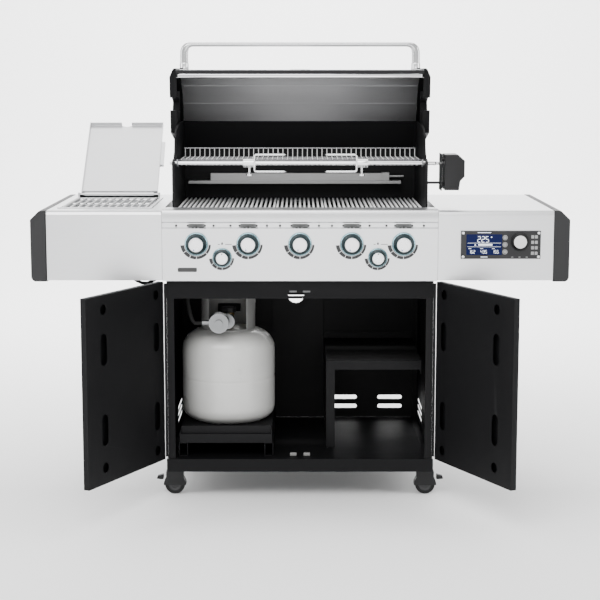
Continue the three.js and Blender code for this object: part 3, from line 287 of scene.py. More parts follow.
burner_steel = brushed_metal("burner_steel", (0.34, 0.34, 0.34), (0.22, 0.22, 0.22), (0.34, 0.48))
handle_steel = brushed_metal("handle_steel", (0.62, 0.625, 0.63), (0.50, 0.505, 0.51), (0.14, 0.22),
                             pull=(1, 8, 8))
rack_steel = brushed_metal("rack_steel", (0.42, 0.42, 0.43), (0.28, 0.28, 0.29), (0.18, 0.3), pull=(8, 8, 8))
tank_paint = grained("tank_paint", (0.62, 0.62, 0.60), (0.22, 0.36), 300, 0.05, 0.2, 0.0, 1.1)
tune(tank_paint, Coat_Weight=0.4)
brass = grained("brass", (0.62, 0.47, 0.22), (0.25, 0.42), 700, 0.08, 0.4, 1.0, 1.3)
zinc = grained("zinc", (0.24, 0.245, 0.25), (0.34, 0.5), 600, 0.15, 0.5, 1.0, 1.3)
# painted shade: the collar is the same paint as the tank body, drawn darker for the shade it stands in
collar_painted_shade_grey = grained("collar_painted_shade_grey", (0.22, 0.22, 0.215), (0.35, 0.5), 300, 0.05, 0.2, 0.0, 1.1)

# ---------------------------------------------------------------- folded, pressed and cast pieces
# Pieces whose CAD shape is already the real one keep it. Sheet folds and casting edges get the
# small radius that a brake, a mould or a trimmed edge leaves.


def trim_edges(obj, width, segments=2):
    edge = obj.modifiers.new("edge", "BEVEL")
    edge.width = width
    edge.segments = segments
    return edge


def finish_node(node, material, radius=0.0012, segments=2, angle=32):
    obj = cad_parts[node]
    obj.data.materials.clear()
    obj.data.materials.append(material)
    weld = obj.modifiers.new("weld", "WELD")
    weld.merge_threshold = 0.00002
    flats = obj.modifiers.new("flats", "DECIMATE")
    flats.decimate_type = "DISSOLVE"
    flats.angle_limit = math.radians(0.2)
    bevel = trim_edges(obj, radius, segments)
    bevel.limit_method = "ANGLE"
    bevel.angle_limit = math.radians(angle)
    for polygon in obj.data.polygons:
        polygon.use_smooth = True
    evened = obj.modifiers.new("evened", "WEIGHTED_NORMAL")
    evened.weight = 90
    evened.keep_sharp = True


def smooth_by_angle(obj, angle=30):
    with bpy.context.temp_override(object=obj, active_object=obj, selected_editable_objects=[obj]):
        bpy.ops.object.shade_smooth_by_angle(angle=math.radians(angle))


for node in ("base_pan", "side_panel_left", "side_panel_right", "back_panel", "top_rail",
             "cabinet_shelf", "tank_tray", "door_left", "door_right"):
    finish_node(node, black_steel, 0.0007)
for node in ("shelf_left", "shelf_right", "side_burner", "grease_tray", "burner_set"):
    finish_node(node, stainless, 0.0006)
finish_node("rear_burner", burner_steel, 0.0006)
finish_node("control_panel", stainless, 0.0006)
for node in ("firebox", "lid_cap_left", "lid_cap_right"):
    finish_node(node, cast_black, 0.0018, 3)
for node in ("shelf_cap_left", "shelf_cap_right"):
    finish_node(node, grey_plastic, 0.004, 4)
finish_node("spit_motor", black_plastic, 0.003, 3)
finish_node("gas_hoses", rubber, 0.0004)
for end in ("front", "rear"):
    for side in ("left", "right"):
        finish_node(f"caster_fork_{end}_{side}", black_plastic, 0.001)
for side in ("left", "right"):
    finish_node(f"caster_brake_{side}", black_plastic, 0.0015, 3)
    finish_node(f"door_handle_{side}", stainless, 0.0006)

# ---------------------------------------------------------------- casters
# Grey-hubbed rubber wheels, turned with a rounded tread and a dished hub face.


def turned(name, profile, centre, axis, material, segments=72):
    """A piece turned about `axis` through `centre`; profile points are (radius, place on axis)."""
    mesh = bpy.data.meshes.new(name)
    shape = bmesh.new()
    points = [shape.verts.new((r, 0, h)) for r, h in profile]
    edges = [shape.edges.new(pair) for pair in zip(points, points[1:])]
    bmesh.ops.spin(shape, geom=points + edges, cent=(0, 0, 0), axis=(0, 0, 1), angle=2 * math.pi,
                   steps=segments, use_merge=True)
    bmesh.ops.remove_doubles(shape, verts=shape.verts, dist=1e-6)
    bmesh.ops.recalc_face_normals(shape, faces=shape.faces)
    turn = Vector((0, 0, 1)).rotation_difference(Vector(axis)).to_matrix().to_4x4()
    bmesh.ops.transform(shape, matrix=Matrix.Translation(centre) @ turn, verts=shape.verts)
    shape.to_mesh(mesh)
    shape.free()
    obj = put(name, mesh, material)
    smooth_by_angle(obj, 35)
    return obj


def middle(node):
    low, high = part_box(node)
    return Vector([(a + b) / 2 for a, b in zip(low, high)])


def rounded(corners, radius, steps=4):
    """The (radius, height) corners of a profile with every inner corner rounded off."""
    path = [corners[0]]
    for before, here, after in zip(corners, corners[1:], corners[2:]):
        here_v, back, ahead = Vector(here), Vector(before) - Vector(here), Vector(after) - Vector(here)
        reach = min(radius, back.length * 0.45, ahead.length * 0.45)
        start, stop = here_v + back.normalized() * reach, here_v + ahead.normalized() * reach
        for step in range(steps + 1):
            t = step / steps
            path.append(tuple((1 - t) ** 2 * start + 2 * t * (1 - t) * here_v + t ** 2 * stop))
    path.append(corners[-1])
    return path


wheel_grey = grained("wheel_grey", (0.016, 0.016, 0.017), (0.4, 0.55), 1200, 0.08, 0.3)
for end in ("front", "rear"):
    for side, sign in (("left", -1), ("right", 1)):
        name = f"caster_wheel_{end}_{side}"
        centre = middle(name)
        tread = centre.z
        rim = tread - 0.0105
        tyre = turned(f"{name}_tyre", rounded([
            (rim, -0.0095), (tread - 0.0005, -0.0098), (tread, -0.006), (tread, 0.006),
            (tread - 0.0005, 0.0098), (rim, 0.0095), (rim, -0.0095)], 0.004), centre, (0, 1, 0), rubber)
        hub = turned(f"{name}_hub", rounded([
            (0.0044, -0.0096), (0.009, -0.0096), (0.011, -0.0075), (rim - 0.004, -0.0072),
            (rim - 0.0003, -0.009), (rim - 0.0003, 0.009), (rim - 0.004, 0.0072), (0.011, 0.0075),
            (0.009, 0.0096), (0.0044, 0.0096), (0.0044, -0.0096)], 0.0012), centre, (0, 1, 0), wheel_grey)
        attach(tyre, f"wheel_{end}_{side}")
        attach(hub, f"wheel_{end}_{side}")
        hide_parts(name)

# ---------------------------------------------------------------- gas tank
# A welded steel tank: domed ends, a rolled body seam, a foot ring and a collar with hand holes.

tank_low, tank_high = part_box("gas_tank")
tank_middle = middle("gas_tank")
tank_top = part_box("tank_valve")[0][2] - 0.004
TANK_WALL = 0.003
tank_radius = (tank_high[0] - tank_low[0]) / 2
seam = tank_top - 0.160
outer_wall = rounded([
    (0.022, tank_top + 0.0055), (0.022, tank_top + 0.001), (0.040, tank_top - 0.0002),
    (tank_radius - 0.060, tank_top - 0.0075), (tank_radius - 0.034, tank_top - 0.0165),
    (tank_radius - 0.014, tank_top - 0.033), (tank_radius - 0.003, tank_top - 0.052),
    (tank_radius, tank_top - 0.072), (tank_radius, seam + 0.006), (tank_radius - 0.0013, seam),
    (tank_radius, seam - 0.006), (tank_radius, tank_low[2] + 0.062),
    (tank_radius - 0.005, tank_low[2] + 0.043), (tank_radius - 0.021, tank_low[2] + 0.028),
    (tank_radius - 0.048, tank_low[2] + 0.0175), (0.070, tank_low[2] + 0.0095),
    (0.0, tank_low[2] + 0.006)], 0.03, 6)
inner_wall = [(max(r - TANK_WALL, 0.0), h + (TANK_WALL if h < seam else -TANK_WALL))
              for r, h in reversed(outer_wall) if r > 0.03 or h < seam]
tank_body = turned("tank_body", outer_wall + inner_wall + [
    (0.015, tank_top - 0.003), (0.015, tank_top + 0.0055), (0.022, tank_top + 0.0055)],
    (tank_middle.x, tank_middle.y, 0), (0, 0, 1), tank_paint, 112)
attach(tank_body, "tank_carriage")
foot_ring = turned("tank_foot_ring", rounded([
    (0.097, tank_low[2] + 0.003), (0.097, tank_low[2]), (0.103, tank_low[2]), (0.1005, tank_low[2] + 0.004),
    (0.100, tank_low[2] + 0.016), (0.097, tank_low[2] + 0.016), (0.097, tank_low[2] + 0.003)], 0.002),
    (tank_middle.x, tank_middle.y, 0), (0, 0, 1), tank_paint, 96)
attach(foot_ring, "tank_carriage")

# The collar is a rolled band, open at the front and with a hand hole at the back.


def band_point(angle, radius, height):
    return (tank_middle.x + radius * math.sin(angle), tank_middle.y - radius * math.cos(angle), height)


def collar_mesh(radius, bottom_z, top_z, opening, hole):
    mesh = bpy.data.meshes.new("tank_collar")
    shape = bmesh.new()
    steps, rows = 96, 14
    grid = {}
    for i in range(steps + 1):
        angle = i / steps * 2 * math.pi
        for j in range(rows + 1):
            grid[i, j] = shape.verts.new(band_point(angle, radius, bottom_z + (top_z - bottom_z) * j / rows))
    for i in range(steps):
        angle = (i + 0.5) / steps * 2 * math.pi
        from_front = min(angle, 2 * math.pi - angle)
        from_back = abs(angle - math.pi)
        for j in range(rows):
            part = (j + 0.5) / rows
            in_front = from_front < opening and part > 0.08
            in_back = from_back < hole and 0.33 < part < 0.6
            if not in_front and not in_back:
                shape.faces.new([grid[i, j], grid[i + 1, j], grid[i + 1, j + 1], grid[i, j + 1]])
    bmesh.ops.delete(shape, geom=[v for v in shape.verts if not v.link_faces], context="VERTS")
    bmesh.ops.remove_doubles(shape, verts=shape.verts, dist=1e-6)
    shape.to_mesh(mesh)
    shape.free()
    return mesh


# The collar takes the darker grey, which is painted shade over the tank's own paint.
collar = put("tank_collar", collar_mesh(0.0845, tank_top - 0.012, tank_high[2], 0.756, 0.483), collar_painted_shade_grey)
collar_wall = collar.modifiers.new("wall", "SOLIDIFY")
collar_wall.thickness = 0.0028
collar_wall.offset = 0
trim_edges(collar, 0.001)
smooth_by_angle(collar)
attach(collar, "tank_carriage")
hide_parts("gas_tank")
finish_node("tank_valve", brass, 0.0012)
finish_node("regulator", zinc, 0.0015, 3)
finish_node("valve_handwheel", black_plastic, 0.002, 3)

# ---------------------------------------------------------------- cooking grids
# Five heavy rod grids side by side. Each has round-topped bars front to back, welded to three
# cross bars underneath. One bar is modelled and Geometry Nodes lays out the row.


def repeat_tree():
    """Geometry Nodes: the object's own shape, `Count` times, a `Step` apart, as real mesh."""
    tree = bpy.data.node_groups.new("repeat_in_a_row", "GeometryNodeTree")
    tree.interface.new_socket("Piece", in_out="INPUT", socket_type="NodeSocketGeometry")
    tree.interface.new_socket("Count", in_out="INPUT", socket_type="NodeSocketInt")
    tree.interface.new_socket("Step", in_out="INPUT", socket_type="NodeSocketVector")
    tree.interface.new_socket("Finish", in_out="INPUT", socket_type="NodeSocketMaterial")
    tree.interface.new_socket("Row", in_out="OUTPUT", socket_type="NodeSocketGeometry")
    start, end = tree.nodes.new("NodeGroupInput"), tree.nodes.new("NodeGroupOutput")
    line = tree.nodes.new("GeometryNodeMeshLine")
    copies = tree.nodes.new("GeometryNodeInstanceOnPoints")
    real = tree.nodes.new("GeometryNodeRealizeInstances")
    finish = tree.nodes.new("GeometryNodeSetMaterial")
    tree.links.new(start.outputs["Count"], line.inputs["Count"])
    tree.links.new(start.outputs["Step"], line.inputs["Offset"])
    tree.links.new(line.outputs["Mesh"], copies.inputs["Points"])
    tree.links.new(start.outputs["Piece"], copies.inputs["Instance"])
    tree.links.new(copies.outputs["Instances"], real.inputs["Geometry"])
    tree.links.new(real.outputs["Geometry"], finish.inputs["Geometry"])
    tree.links.new(start.outputs["Finish"], finish.inputs["Material"])
    tree.links.new(finish.outputs["Geometry"], end.inputs["Row"])
    return tree


row_tree = repeat_tree()


def row_of(name, mesh, count, step, material):
    """`mesh` repeated in a row along `step`, as one plain mesh piece."""
    seed = put(f"{name}_seed", mesh)
    modifier = seed.modifiers.new("row", "NODES")
    modifier.node_group = row_tree
    keys = {item.name: item.identifier for item in row_tree.interface.items_tree
            if item.in_out == "INPUT"}
    modifier[keys["Count"]] = count
    modifier[keys["Step"]] = step
    modifier[keys["Finish"]] = material
    scene_view = bpy.context.evaluated_depsgraph_get()
    whole = bpy.data.meshes.new_from_object(seed.evaluated_get(scene_view))
    whole.name = name
    bpy.data.objects.remove(seed)
    return put(name, whole)


def bar_mesh(name, start, end, section, smooth=True):
    """A straight bar from `start` to `end` whose section is a list of (across, up) points."""
    mesh = bpy.data.meshes.new(name)
    start, end = Vector(start), Vector(end)
    along = (end - start).normalized()
    up = Vector((0, 0, 1)) if abs(along.z) < 0.9 else Vector((0, -1, 0))
    across = along.cross(up).normalized()
    up = across.cross(along)
    count = len(section)
    verts = [base + across * a + up * b for base in (start, end) for a, b in section]
    faces = [(i, (i + 1) % count, count + (i + 1) % count, count + i) for i in range(count)]
    faces += [tuple(reversed(range(count))), tuple(range(count, 2 * count))]
    mesh.from_pydata([tuple(v) for v in verts], [], faces)
    shape = bmesh.new()
    shape.from_mesh(mesh)
    bmesh.ops.recalc_face_normals(shape, faces=shape.faces)
    shape.to_mesh(mesh)
    shape.free()
    for polygon in mesh.polygons:
        polygon.use_smooth = smooth and len(polygon.vertices) == 4
    return mesh


def ring_section(radius, sides=8, flatten=1.0):
    return [(radius * math.cos(2 * math.pi * i / sides), flatten * radius * math.sin(2 * math.pi * i / sides))
            for i in range(sides)]


def joined(name, objects, material=None):
    """Several meshes as one piece."""
    shape = bmesh.new()
    materials = []
    for obj in objects:
        evaluated = obj.evaluated_get(bpy.context.evaluated_depsgraph_get())
        part = evaluated.to_mesh()
        first = len(shape.faces)
        shape.from_mesh(part)
        shape.faces.ensure_lookup_table()
        used = obj.data.materials[0] if obj.data.materials else material
        if used not in materials:
            materials.append(used)
        for face in shape.faces[first:]:
            face.material_index = materials.index(used)
        evaluated.to_mesh_clear()
    mesh = bpy.data.meshes.new(name)
    shape.to_mesh(mesh)
    shape.free()
    for obj in objects:
        bpy.data.objects.remove(obj)
    for used in materials:
        mesh.materials.append(used)
    whole = bpy.data.objects.new(name, mesh)
    bpy.context.scene.collection.objects.link(whole)
    return whole


grid_low, grid_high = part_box("cooking_grid")
GRIDS = 5
GRID_BARS = 11
BAR_HALF = 0.0032
grid_pitch = (grid_high[0] - grid_low[0]) / GRIDS
bar_pitch = (grid_pitch - 0.004 - 2 * BAR_HALF) / (GRID_BARS - 1)
bar_top = grid_high[2]
round_top = [(-BAR_HALF, -0.009)] + [
    (-BAR_HALF * math.cos(math.pi * i / 6), -0.003 + 0.003 * math.sin(math.pi * i / 6)) for i in range(7)
] + [(BAR_HALF, -0.009)]
for g in range(GRIDS):
    left = grid_low[0] + g * grid_pitch + 0.002
    bars = row_of(f"grid_{g + 1}_bars", bar_mesh(
        "grid_bar", (left + BAR_HALF, grid_low[1], bar_top), (left + BAR_HALF, grid_high[1], bar_top),
        round_top), GRID_BARS, (bar_pitch, 0, 0), grid_steel)
    ties = [put(f"grid_tie_{k}", bar_mesh(
        "grid_tie", (left, y, bar_top - 0.0115), (left + grid_pitch - 0.004, y, bar_top - 0.0115),
        ring_section(0.004, 8)), grid_steel)
        for k, y in enumerate((grid_low[1] + 0.005, middle("cooking_grid").y, grid_high[1] - 0.005))]
    grid = joined(f"cooking_grid_{g + 1}", [bars, *ties], grid_steel)
    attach(grid, "frame")
    if g == 0:
        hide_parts("cooking_grid")

# ---------------------------------------------------------------- warming rack
# A chromed wire rack hung on the cook box's side walls, with a low fence along its back.

rack_low, rack_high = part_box("warming_rack")
WIRE = 0.0011
rack_z = rack_high[2] - 0.026 - WIRE
rack_left, rack_right = rack_low[0] + 0.008, rack_high[0] - 0.008
RACK_WIRES = 48
rack_pitch = (rack_right - rack_left) / (RACK_WIRES - 1)


def wire_mesh(name, points, radius, sides=8):
    """A round wire bent through `points`, with closed ends."""
    curve = bpy.data.curves.new(name, "CURVE")
    curve.dimensions = "3D"
    curve.bevel_depth = radius
    curve.bevel_resolution = max(1, sides // 4 - 1)
    curve.use_fill_caps = True
    spline = curve.splines.new("POLY")
    spline.points.add(len(points) - 1)
    for knot, point in zip(spline.points, points):
        knot.co = (*point, 1)
    holder = bpy.data.objects.new(name, curve)
    bpy.context.scene.collection.objects.link(holder)
    mesh = bpy.data.meshes.new_from_object(holder.evaluated_get(bpy.context.evaluated_depsgraph_get()))
    mesh.name = name
    bpy.data.objects.remove(holder)
    for polygon in mesh.polygons:
        polygon.use_smooth = True
    return mesh


def bend(corners, radius, steps=5):
    """A route through `corners` with each inner corner rounded."""
    path = [Vector(corners[0])]
    for before, here, after in zip(corners, corners[1:], corners[2:]):
        here, back, ahead = Vector(here), Vector(before) - Vector(here), Vector(after) - Vector(here)
        reach = min(radius, back.length * 0.49, ahead.length * 0.49)
        start, stop = here + back.normalized() * reach, here + ahead.normalized() * reach
        for step in range(steps + 1):
            t = step / steps
            path.append((1 - t) ** 2 * start + 2 * t * (1 - t) * here + t ** 2 * stop)
    path.append(Vector(corners[-1]))
    return path


fence_top = rack_high[2] - WIRE
rack_wires = row_of("rack_wires", wire_mesh("rack_wire", bend([
    (rack_left, rack_low[1] + 0.002, rack_z), (rack_left, rack_high[1] - 0.003, rack_z),
    (rack_left, rack_high[1] - 0.003, fence_top)], 0.008, 3), WIRE, 8), RACK_WIRES, (rack_pitch, 0, 0),
    rack_steel)
rails = []
for y, z in ((rack_low[1] + 0.003, rack_z - 0.0035), (middle("warming_rack").y, rack_z - 0.0035),
             (rack_high[1] - 0.006, rack_z - 0.0035), (rack_high[1] - 0.004, fence_top)):
    rails.append(put("rack_rail", wire_mesh("rack_rail", [
        (rack_left - 0.004, y, z), (rack_right + 0.004, y, z)], 0.0017, 12), rack_steel))
for x in (rack_low[0] + 0.003, rack_high[0] - 0.003):
    rails.append(put("rack_end", wire_mesh("rack_end", [
        (x, rack_low[1] + 0.003, rack_z - 0.003), (x, rack_high[1] - 0.003, rack_z - 0.003)], 0.0020, 12),
        rack_steel))
rack = joined("warming_rack_wires", [rack_wires, *rails], rack_steel)
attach(rack, "frame")
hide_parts("warming_rack")

# ---------------------------------------------------------------- side-burner grate
# Chromed bars front to back with a cross bar at the middle and each end, standing in the bowl.

grate_low, grate_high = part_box("side_grate")
GRATE_BARS = 12
grate_pitch = (grate_high[0] - grate_low[0] - 0.007) / (GRATE_BARS - 1)
grate_z = grate_high[2] - 0.003
grate_bars = row_of("grate_bars", wire_mesh("grate_bar", bend([
    (grate_low[0] + 0.0035, grate_low[1] + 0.003, grate_z - 0.012),
    (grate_low[0] + 0.0035, grate_low[1] + 0.003, grate_z),
    (grate_low[0] + 0.0035, grate_high[1] - 0.003, grate_z),
    (grate_low[0] + 0.0035, grate_high[1] - 0.003, grate_z - 0.012)], 0.006, 4), 0.003, 12),
    GRATE_BARS, (grate_pitch, 0, 0), chrome)
grate_ties = [put("grate_tie", wire_mesh("grate_tie", [
    (grate_low[0] + 0.003, y, grate_z - 0.005), (grate_high[0] - 0.003, y, grate_z - 0.005)], 0.0032, 12),
    chrome) for y in (grate_low[1] + 0.010, middle("side_grate").y, grate_high[1] - 0.010)]
grate_feet = [put("grate_foot", wire_mesh("grate_foot", [
    (x, y, grate_z - 0.004), (x, y, grate_low[2] + 0.001)], 0.003, 12), chrome)
    for x in (grate_low[0] + 0.0035, grate_high[0] - 0.0035)
    for y in (grate_low[1] + 0.011, grate_high[1] - 0.011)]
grate = joined("side_burner_grate", [grate_bars, *grate_ties, *grate_feet], chrome)
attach(grate, "frame")
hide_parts("side_grate")

# ---------------------------------------------------------------- main lid
# A double-walled stainless lid between two castings. The outer skin is one rolled sheet, the
# liner follows it inside, and a black trim and a bright hem close the gap at the front edge.
# Sections are drawn in the open lid's (Y, Z), from its front edge over the bend to its rear edge.

shell_low, shell_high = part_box("lid_shell")
LID_GAP = 0.026
LID_BEND = 0.170
lid_left, lid_right = shell_low[0] + 0.0005, shell_high[0] - 0.0005
bend_y, bend_z = shell_high[1] - LID_BEND, shell_high[2] - LID_BEND


def lid_section(inset, start, stop, steps=28):
    """(Y, Z) points of a sheet `inset` inside the skin; `start` and `stop` trim its two ends."""
    points = [(shell_low[1] + start, shell_high[2] - inset)]
    for step in range(steps + 1):
        angle = step / steps * math.pi / 2
        points.append((bend_y + (LID_BEND - inset) * math.sin(angle),
                       bend_z + (LID_BEND - inset) * math.cos(angle)))
    points.append((shell_high[1] - inset, shell_low[2] + stop))
    return points


def rolled_sheet(name, section, left, right, thickness, material):
    """A sheet that follows `section` in (Y, Z), spanning X from `left` to `right`."""
    mesh = bpy.data.meshes.new(name)
    count = len(section)
    verts = [(x, y, z) for x in (left, right) for y, z in section]
    faces = [(i, i + 1, count + i + 1, count + i) for i in range(count - 1)]
    mesh.from_pydata(verts, [], faces)
    obj = put(name, mesh, material)
    wall = obj.modifiers.new("wall", "SOLIDIFY")
    wall.thickness = thickness
    wall.offset = 0
    smooth_by_angle(obj, 30)
    return obj


skin = rolled_sheet("lid_skin", lid_section(0.001, 0.002, 0.002), lid_left, lid_right, 0.0012, stainless)
liner = rolled_sheet("lid_liner", lid_section(LID_GAP - 0.001, 0.006, 0.003), lid_left, lid_right, 0.0012,
                     liner_steel)


def plain_box(name, low, high, radius, material, segments=3):
    """A block with rounded edges."""
    mesh = bpy.data.meshes.new(name)
    shape = bmesh.new()
    bmesh.ops.create_cube(shape, size=1)
    for v in shape.verts:
        v.co = [(a + b) / 2 + c * (b - a) for a, b, c in zip(low, high, v.co)]
    bmesh.ops.bevel(shape, geom=shape.edges, offset=radius, segments=segments, profile=0.5,
                    affect="EDGES", clamp_overlap=True)
    bmesh.ops.recalc_face_normals(shape, faces=shape.faces)
    shape.to_mesh(mesh)
    shape.free()
    obj = put(name, mesh, material)
    smooth_by_angle(obj, 40)
    return obj


edge_y = shell_low[1]
trim = plain_box("lid_trim", (lid_left, edge_y, shell_high[2] - 0.0125),
                 (lid_right, edge_y + 0.012, shell_high[2] - 0.0018), 0.002, black_plastic)
hem = plain_box("lid_hem", (lid_left + 0.006, edge_y + 0.0005, shell_high[2] - LID_GAP + 0.0005),
                (lid_right - 0.006, edge_y + 0.010, shell_high[2] - 0.013), 0.003, chrome)
rear_hem = plain_box("lid_rear_hem", (lid_left, shell_high[1] - LID_GAP + 0.001, shell_low[2]),
                     (lid_right, shell_high[1] - 0.001, shell_low[2] + 0.004), 0.001, stainless)
for piece in (skin, liner, trim, hem, rear_hem):
    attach(piece, "lid")
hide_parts("lid_shell")

# The liner is spot-welded to the skin; its two pressed seams run the width of the lid.
for k, (y, z) in enumerate((
        (bend_y + (LID_BEND - LID_GAP) * math.sin(0.62), bend_z + (LID_BEND - LID_GAP) * math.cos(0.62)),
        (bend_y + (LID_BEND - LID_GAP) * math.sin(1.15), bend_z + (LID_BEND - LID_GAP) * math.cos(1.15)))):
    seam_line = put(f"liner_seam_{k + 1}", wire_mesh(f"liner_seam_{k + 1}", [
        (lid_left + 0.004, y - 0.0004, z - 0.0004), (lid_right - 0.004, y - 0.0004, z - 0.0004)], 0.0011, 8),
        liner_steel)
    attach(seam_line, "lid")

# ---------------------------------------------------------------- lid handle
# A bent stainless tube, flattened slightly, that flares into its two cast feet.

handle_low, handle_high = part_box("lid_handle")
foot_x = handle_high[0] - 0.015
handle_y = middle("lid_handle").y
BAR_HALF, LEG_HALF, HANDLE_DEEP = 0.0068, 0.0128, 0.0090
BEND_RISE = 0.0004  # the widening tube rises this much at its bends
bar_z = handle_high[2] - BAR_HALF - BEND_RISE
handle_foot_z = handle_low[2] + 0.020


def handle_mesh(name):
    """An oval bar swept over its two bends, wider in the legs than along the bar."""
    leg = -foot_x
    route = bend([(leg, handle_y, handle_foot_z), (leg, handle_y, bar_z), (0, handle_y, bar_z)], 0.066, 18)
    route = [Vector(p) for p in route]
    route += [Vector((-p.x, p.y, p.z)) for p in reversed(route[:-1])]
    mesh = bpy.data.meshes.new(name)
    shape = bmesh.new()
    rings = []
    for i, here in enumerate(route):
        ahead = (route[min(i + 1, len(route) - 1)] - route[max(i - 1, 0)]).normalized()
        across = Vector((ahead.z, 0, -ahead.x))
        up = abs(ahead.z)
        half = BAR_HALF + (LEG_HALF - BAR_HALF) * up
        ring = []
        for k in range(28):
            a = k / 28 * 2 * math.pi
            ring.append(shape.verts.new(here + across * (half * math.cos(a)) + Vector((0, 1, 0)) * (
                HANDLE_DEEP * math.sin(a))))
        rings.append(ring)
    for first, second in zip(rings, rings[1:]):
        for k in range(28):
            shape.faces.new((first[k - 1], first[k], second[k], second[k - 1]))
    shape.faces.new(rings[0])
    shape.faces.new(rings[-1][::-1])
    bmesh.ops.recalc_face_normals(shape, faces=shape.faces)
    shape.to_mesh(mesh)
    shape.free()
    return mesh


handle_tube = put("lid_handle_bar", handle_mesh("lid_handle_bar"), handle_steel)
smooth_by_angle(handle_tube, 40)
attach(handle_tube, "lid")
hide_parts("lid_handle")
for side, sign in (("left", -1), ("right", 1)):
    foot = turned(f"lid_handle_foot_{side}", rounded([
        (0, handle_low[2] + 0.0005), (0.0149, handle_low[2] + 0.0005), (0.0149, handle_low[2] + 0.019),
        (0.0138, handle_low[2] + 0.0215), (0, handle_low[2] + 0.0215)], 0.0015),
        (sign * foot_x, handle_y, 0), (0, 0, 1), chrome, 48)
    washer = turned(f"lid_handle_washer_{side}", rounded([
        (0, handle_low[2] + 0.0001), (0.0149, handle_low[2] + 0.0001), (0.0149, handle_low[2] + 0.003),
        (0, handle_low[2] + 0.003)], 0.0008), (sign * foot_x, handle_y, 0), (0, 0, 1), black_plastic, 40)
    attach(foot, "lid")
    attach(washer, "lid")

# ---------------------------------------------------------------- lid thermometer
# A round dial set in the skin above the handle, seen from the front when the lid is closed and
# from above when it is open.

dial_top = shell_high[2]
thermometer_y = handle_y + 0.080
bezel = turned("thermometer_bezel", rounded([
    (0.034, dial_top - 0.0025), (0.034, dial_top + 0.0008), (0.030, dial_top + 0.0022),
    (0.028, dial_top + 0.0014), (0.028, dial_top - 0.0025), (0.034, dial_top - 0.0025)], 0.0008),
    (0, thermometer_y, 0), (0, 0, 1), chrome, 72)
white_face = grained("dial_white", (0.75, 0.75, 0.74), (0.3, 0.4), 600, 0.02, 0.0)
face = turned("thermometer_face", [(0, dial_top + 0.0004), (0.0279, dial_top + 0.0004),
                                   (0.0279, dial_top), (0, dial_top)],
              (0, thermometer_y, 0), (0, 0, 1), white_face, 48)
tick_black = grained("tick_black", (0.02, 0.02, 0.02), (0.4, 0.5), 600, 0.02, 0.0)
ticks = []
for k in range(25):
    angle = math.radians(-135 + 270 * k / 24)
    inner = 0.0215 if k % 4 else 0.019
    ticks.append(put("tick", bar_mesh("tick", (
        inner * math.sin(angle), thermometer_y + inner * math.cos(angle), dial_top + 0.0006), (
        0.025 * math.sin(angle), thermometer_y + 0.025 * math.cos(angle), dial_top + 0.0006),
        [(-0.0004, -0.0002), (0.0004, -0.0002), (0.0004, 0.0002), (-0.0004, 0.0002)], False), tick_black))
needle_end = (0.018 * math.sin(-2.2), thermometer_y + 0.018 * math.cos(-2.2), dial_top + 0.0010)
ticks.append(put("needle", bar_mesh("needle", (0, thermometer_y, dial_top + 0.0010), needle_end, [
    (-0.0007, -0.0003), (0.0007, -0.0003), (0.0007, 0.0003), (-0.0007, 0.0003)], False), tick_black))
marks = joined("thermometer_marks", ticks, tick_black)
for piece in (bezel, face, marks):
    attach(piece, "lid")

# ---------------------------------------------------------------- side-burner lid
# One pressed stainless pan with a finger dip in its front edge, a rolled barrel for the hinge
# pin and a grip on its right edge; the real grip is black plastic, but the whole piece takes the stainless
# finish here.

finish_node("side_lid", stainless_deep, 0.001, 3)

# ---------------------------------------------------------------- rotisserie
# A bright rod turned down at its motor end, two clamping forks with four ground tines each, and the motor.

spit_low, spit_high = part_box("spit_rod")
spit_centre = middle("spit_rod")
ROD = 0.0064
rod_piece = turned("spit_rod_bar", rounded([
    (0, spit_low[0] + 0.0005), (0.004, spit_low[0] + 0.0005), (ROD, spit_low[0] + 0.012),
    (ROD, spit_high[0] - 0.03), (0.0048, spit_high[0] - 0.028), (0.0048, spit_high[0] - 0.0005),
    (0, spit_high[0] - 0.0005)], 0.001), (0, spit_centre.y, spit_centre.z), (1, 0, 0), chrome, 32)
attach(rod_piece, "spit")
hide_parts("spit_rod")
wall_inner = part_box("cooking_grid")[1][0]
for side, sign in (("left", -1), ("right", 1)):
    at = sign * (wall_inner - 0.0055)
    bush = turned(f"spit_bush_{side}", rounded([
        (ROD, at - 0.0025), (0.012, at - 0.0025), (0.012, at + 0.0025), (ROD, at + 0.0025)], 0.0008),
        (0, spit_centre.y, spit_centre.z), (1, 0, 0), zinc, 40)
    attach(bush, "spit")

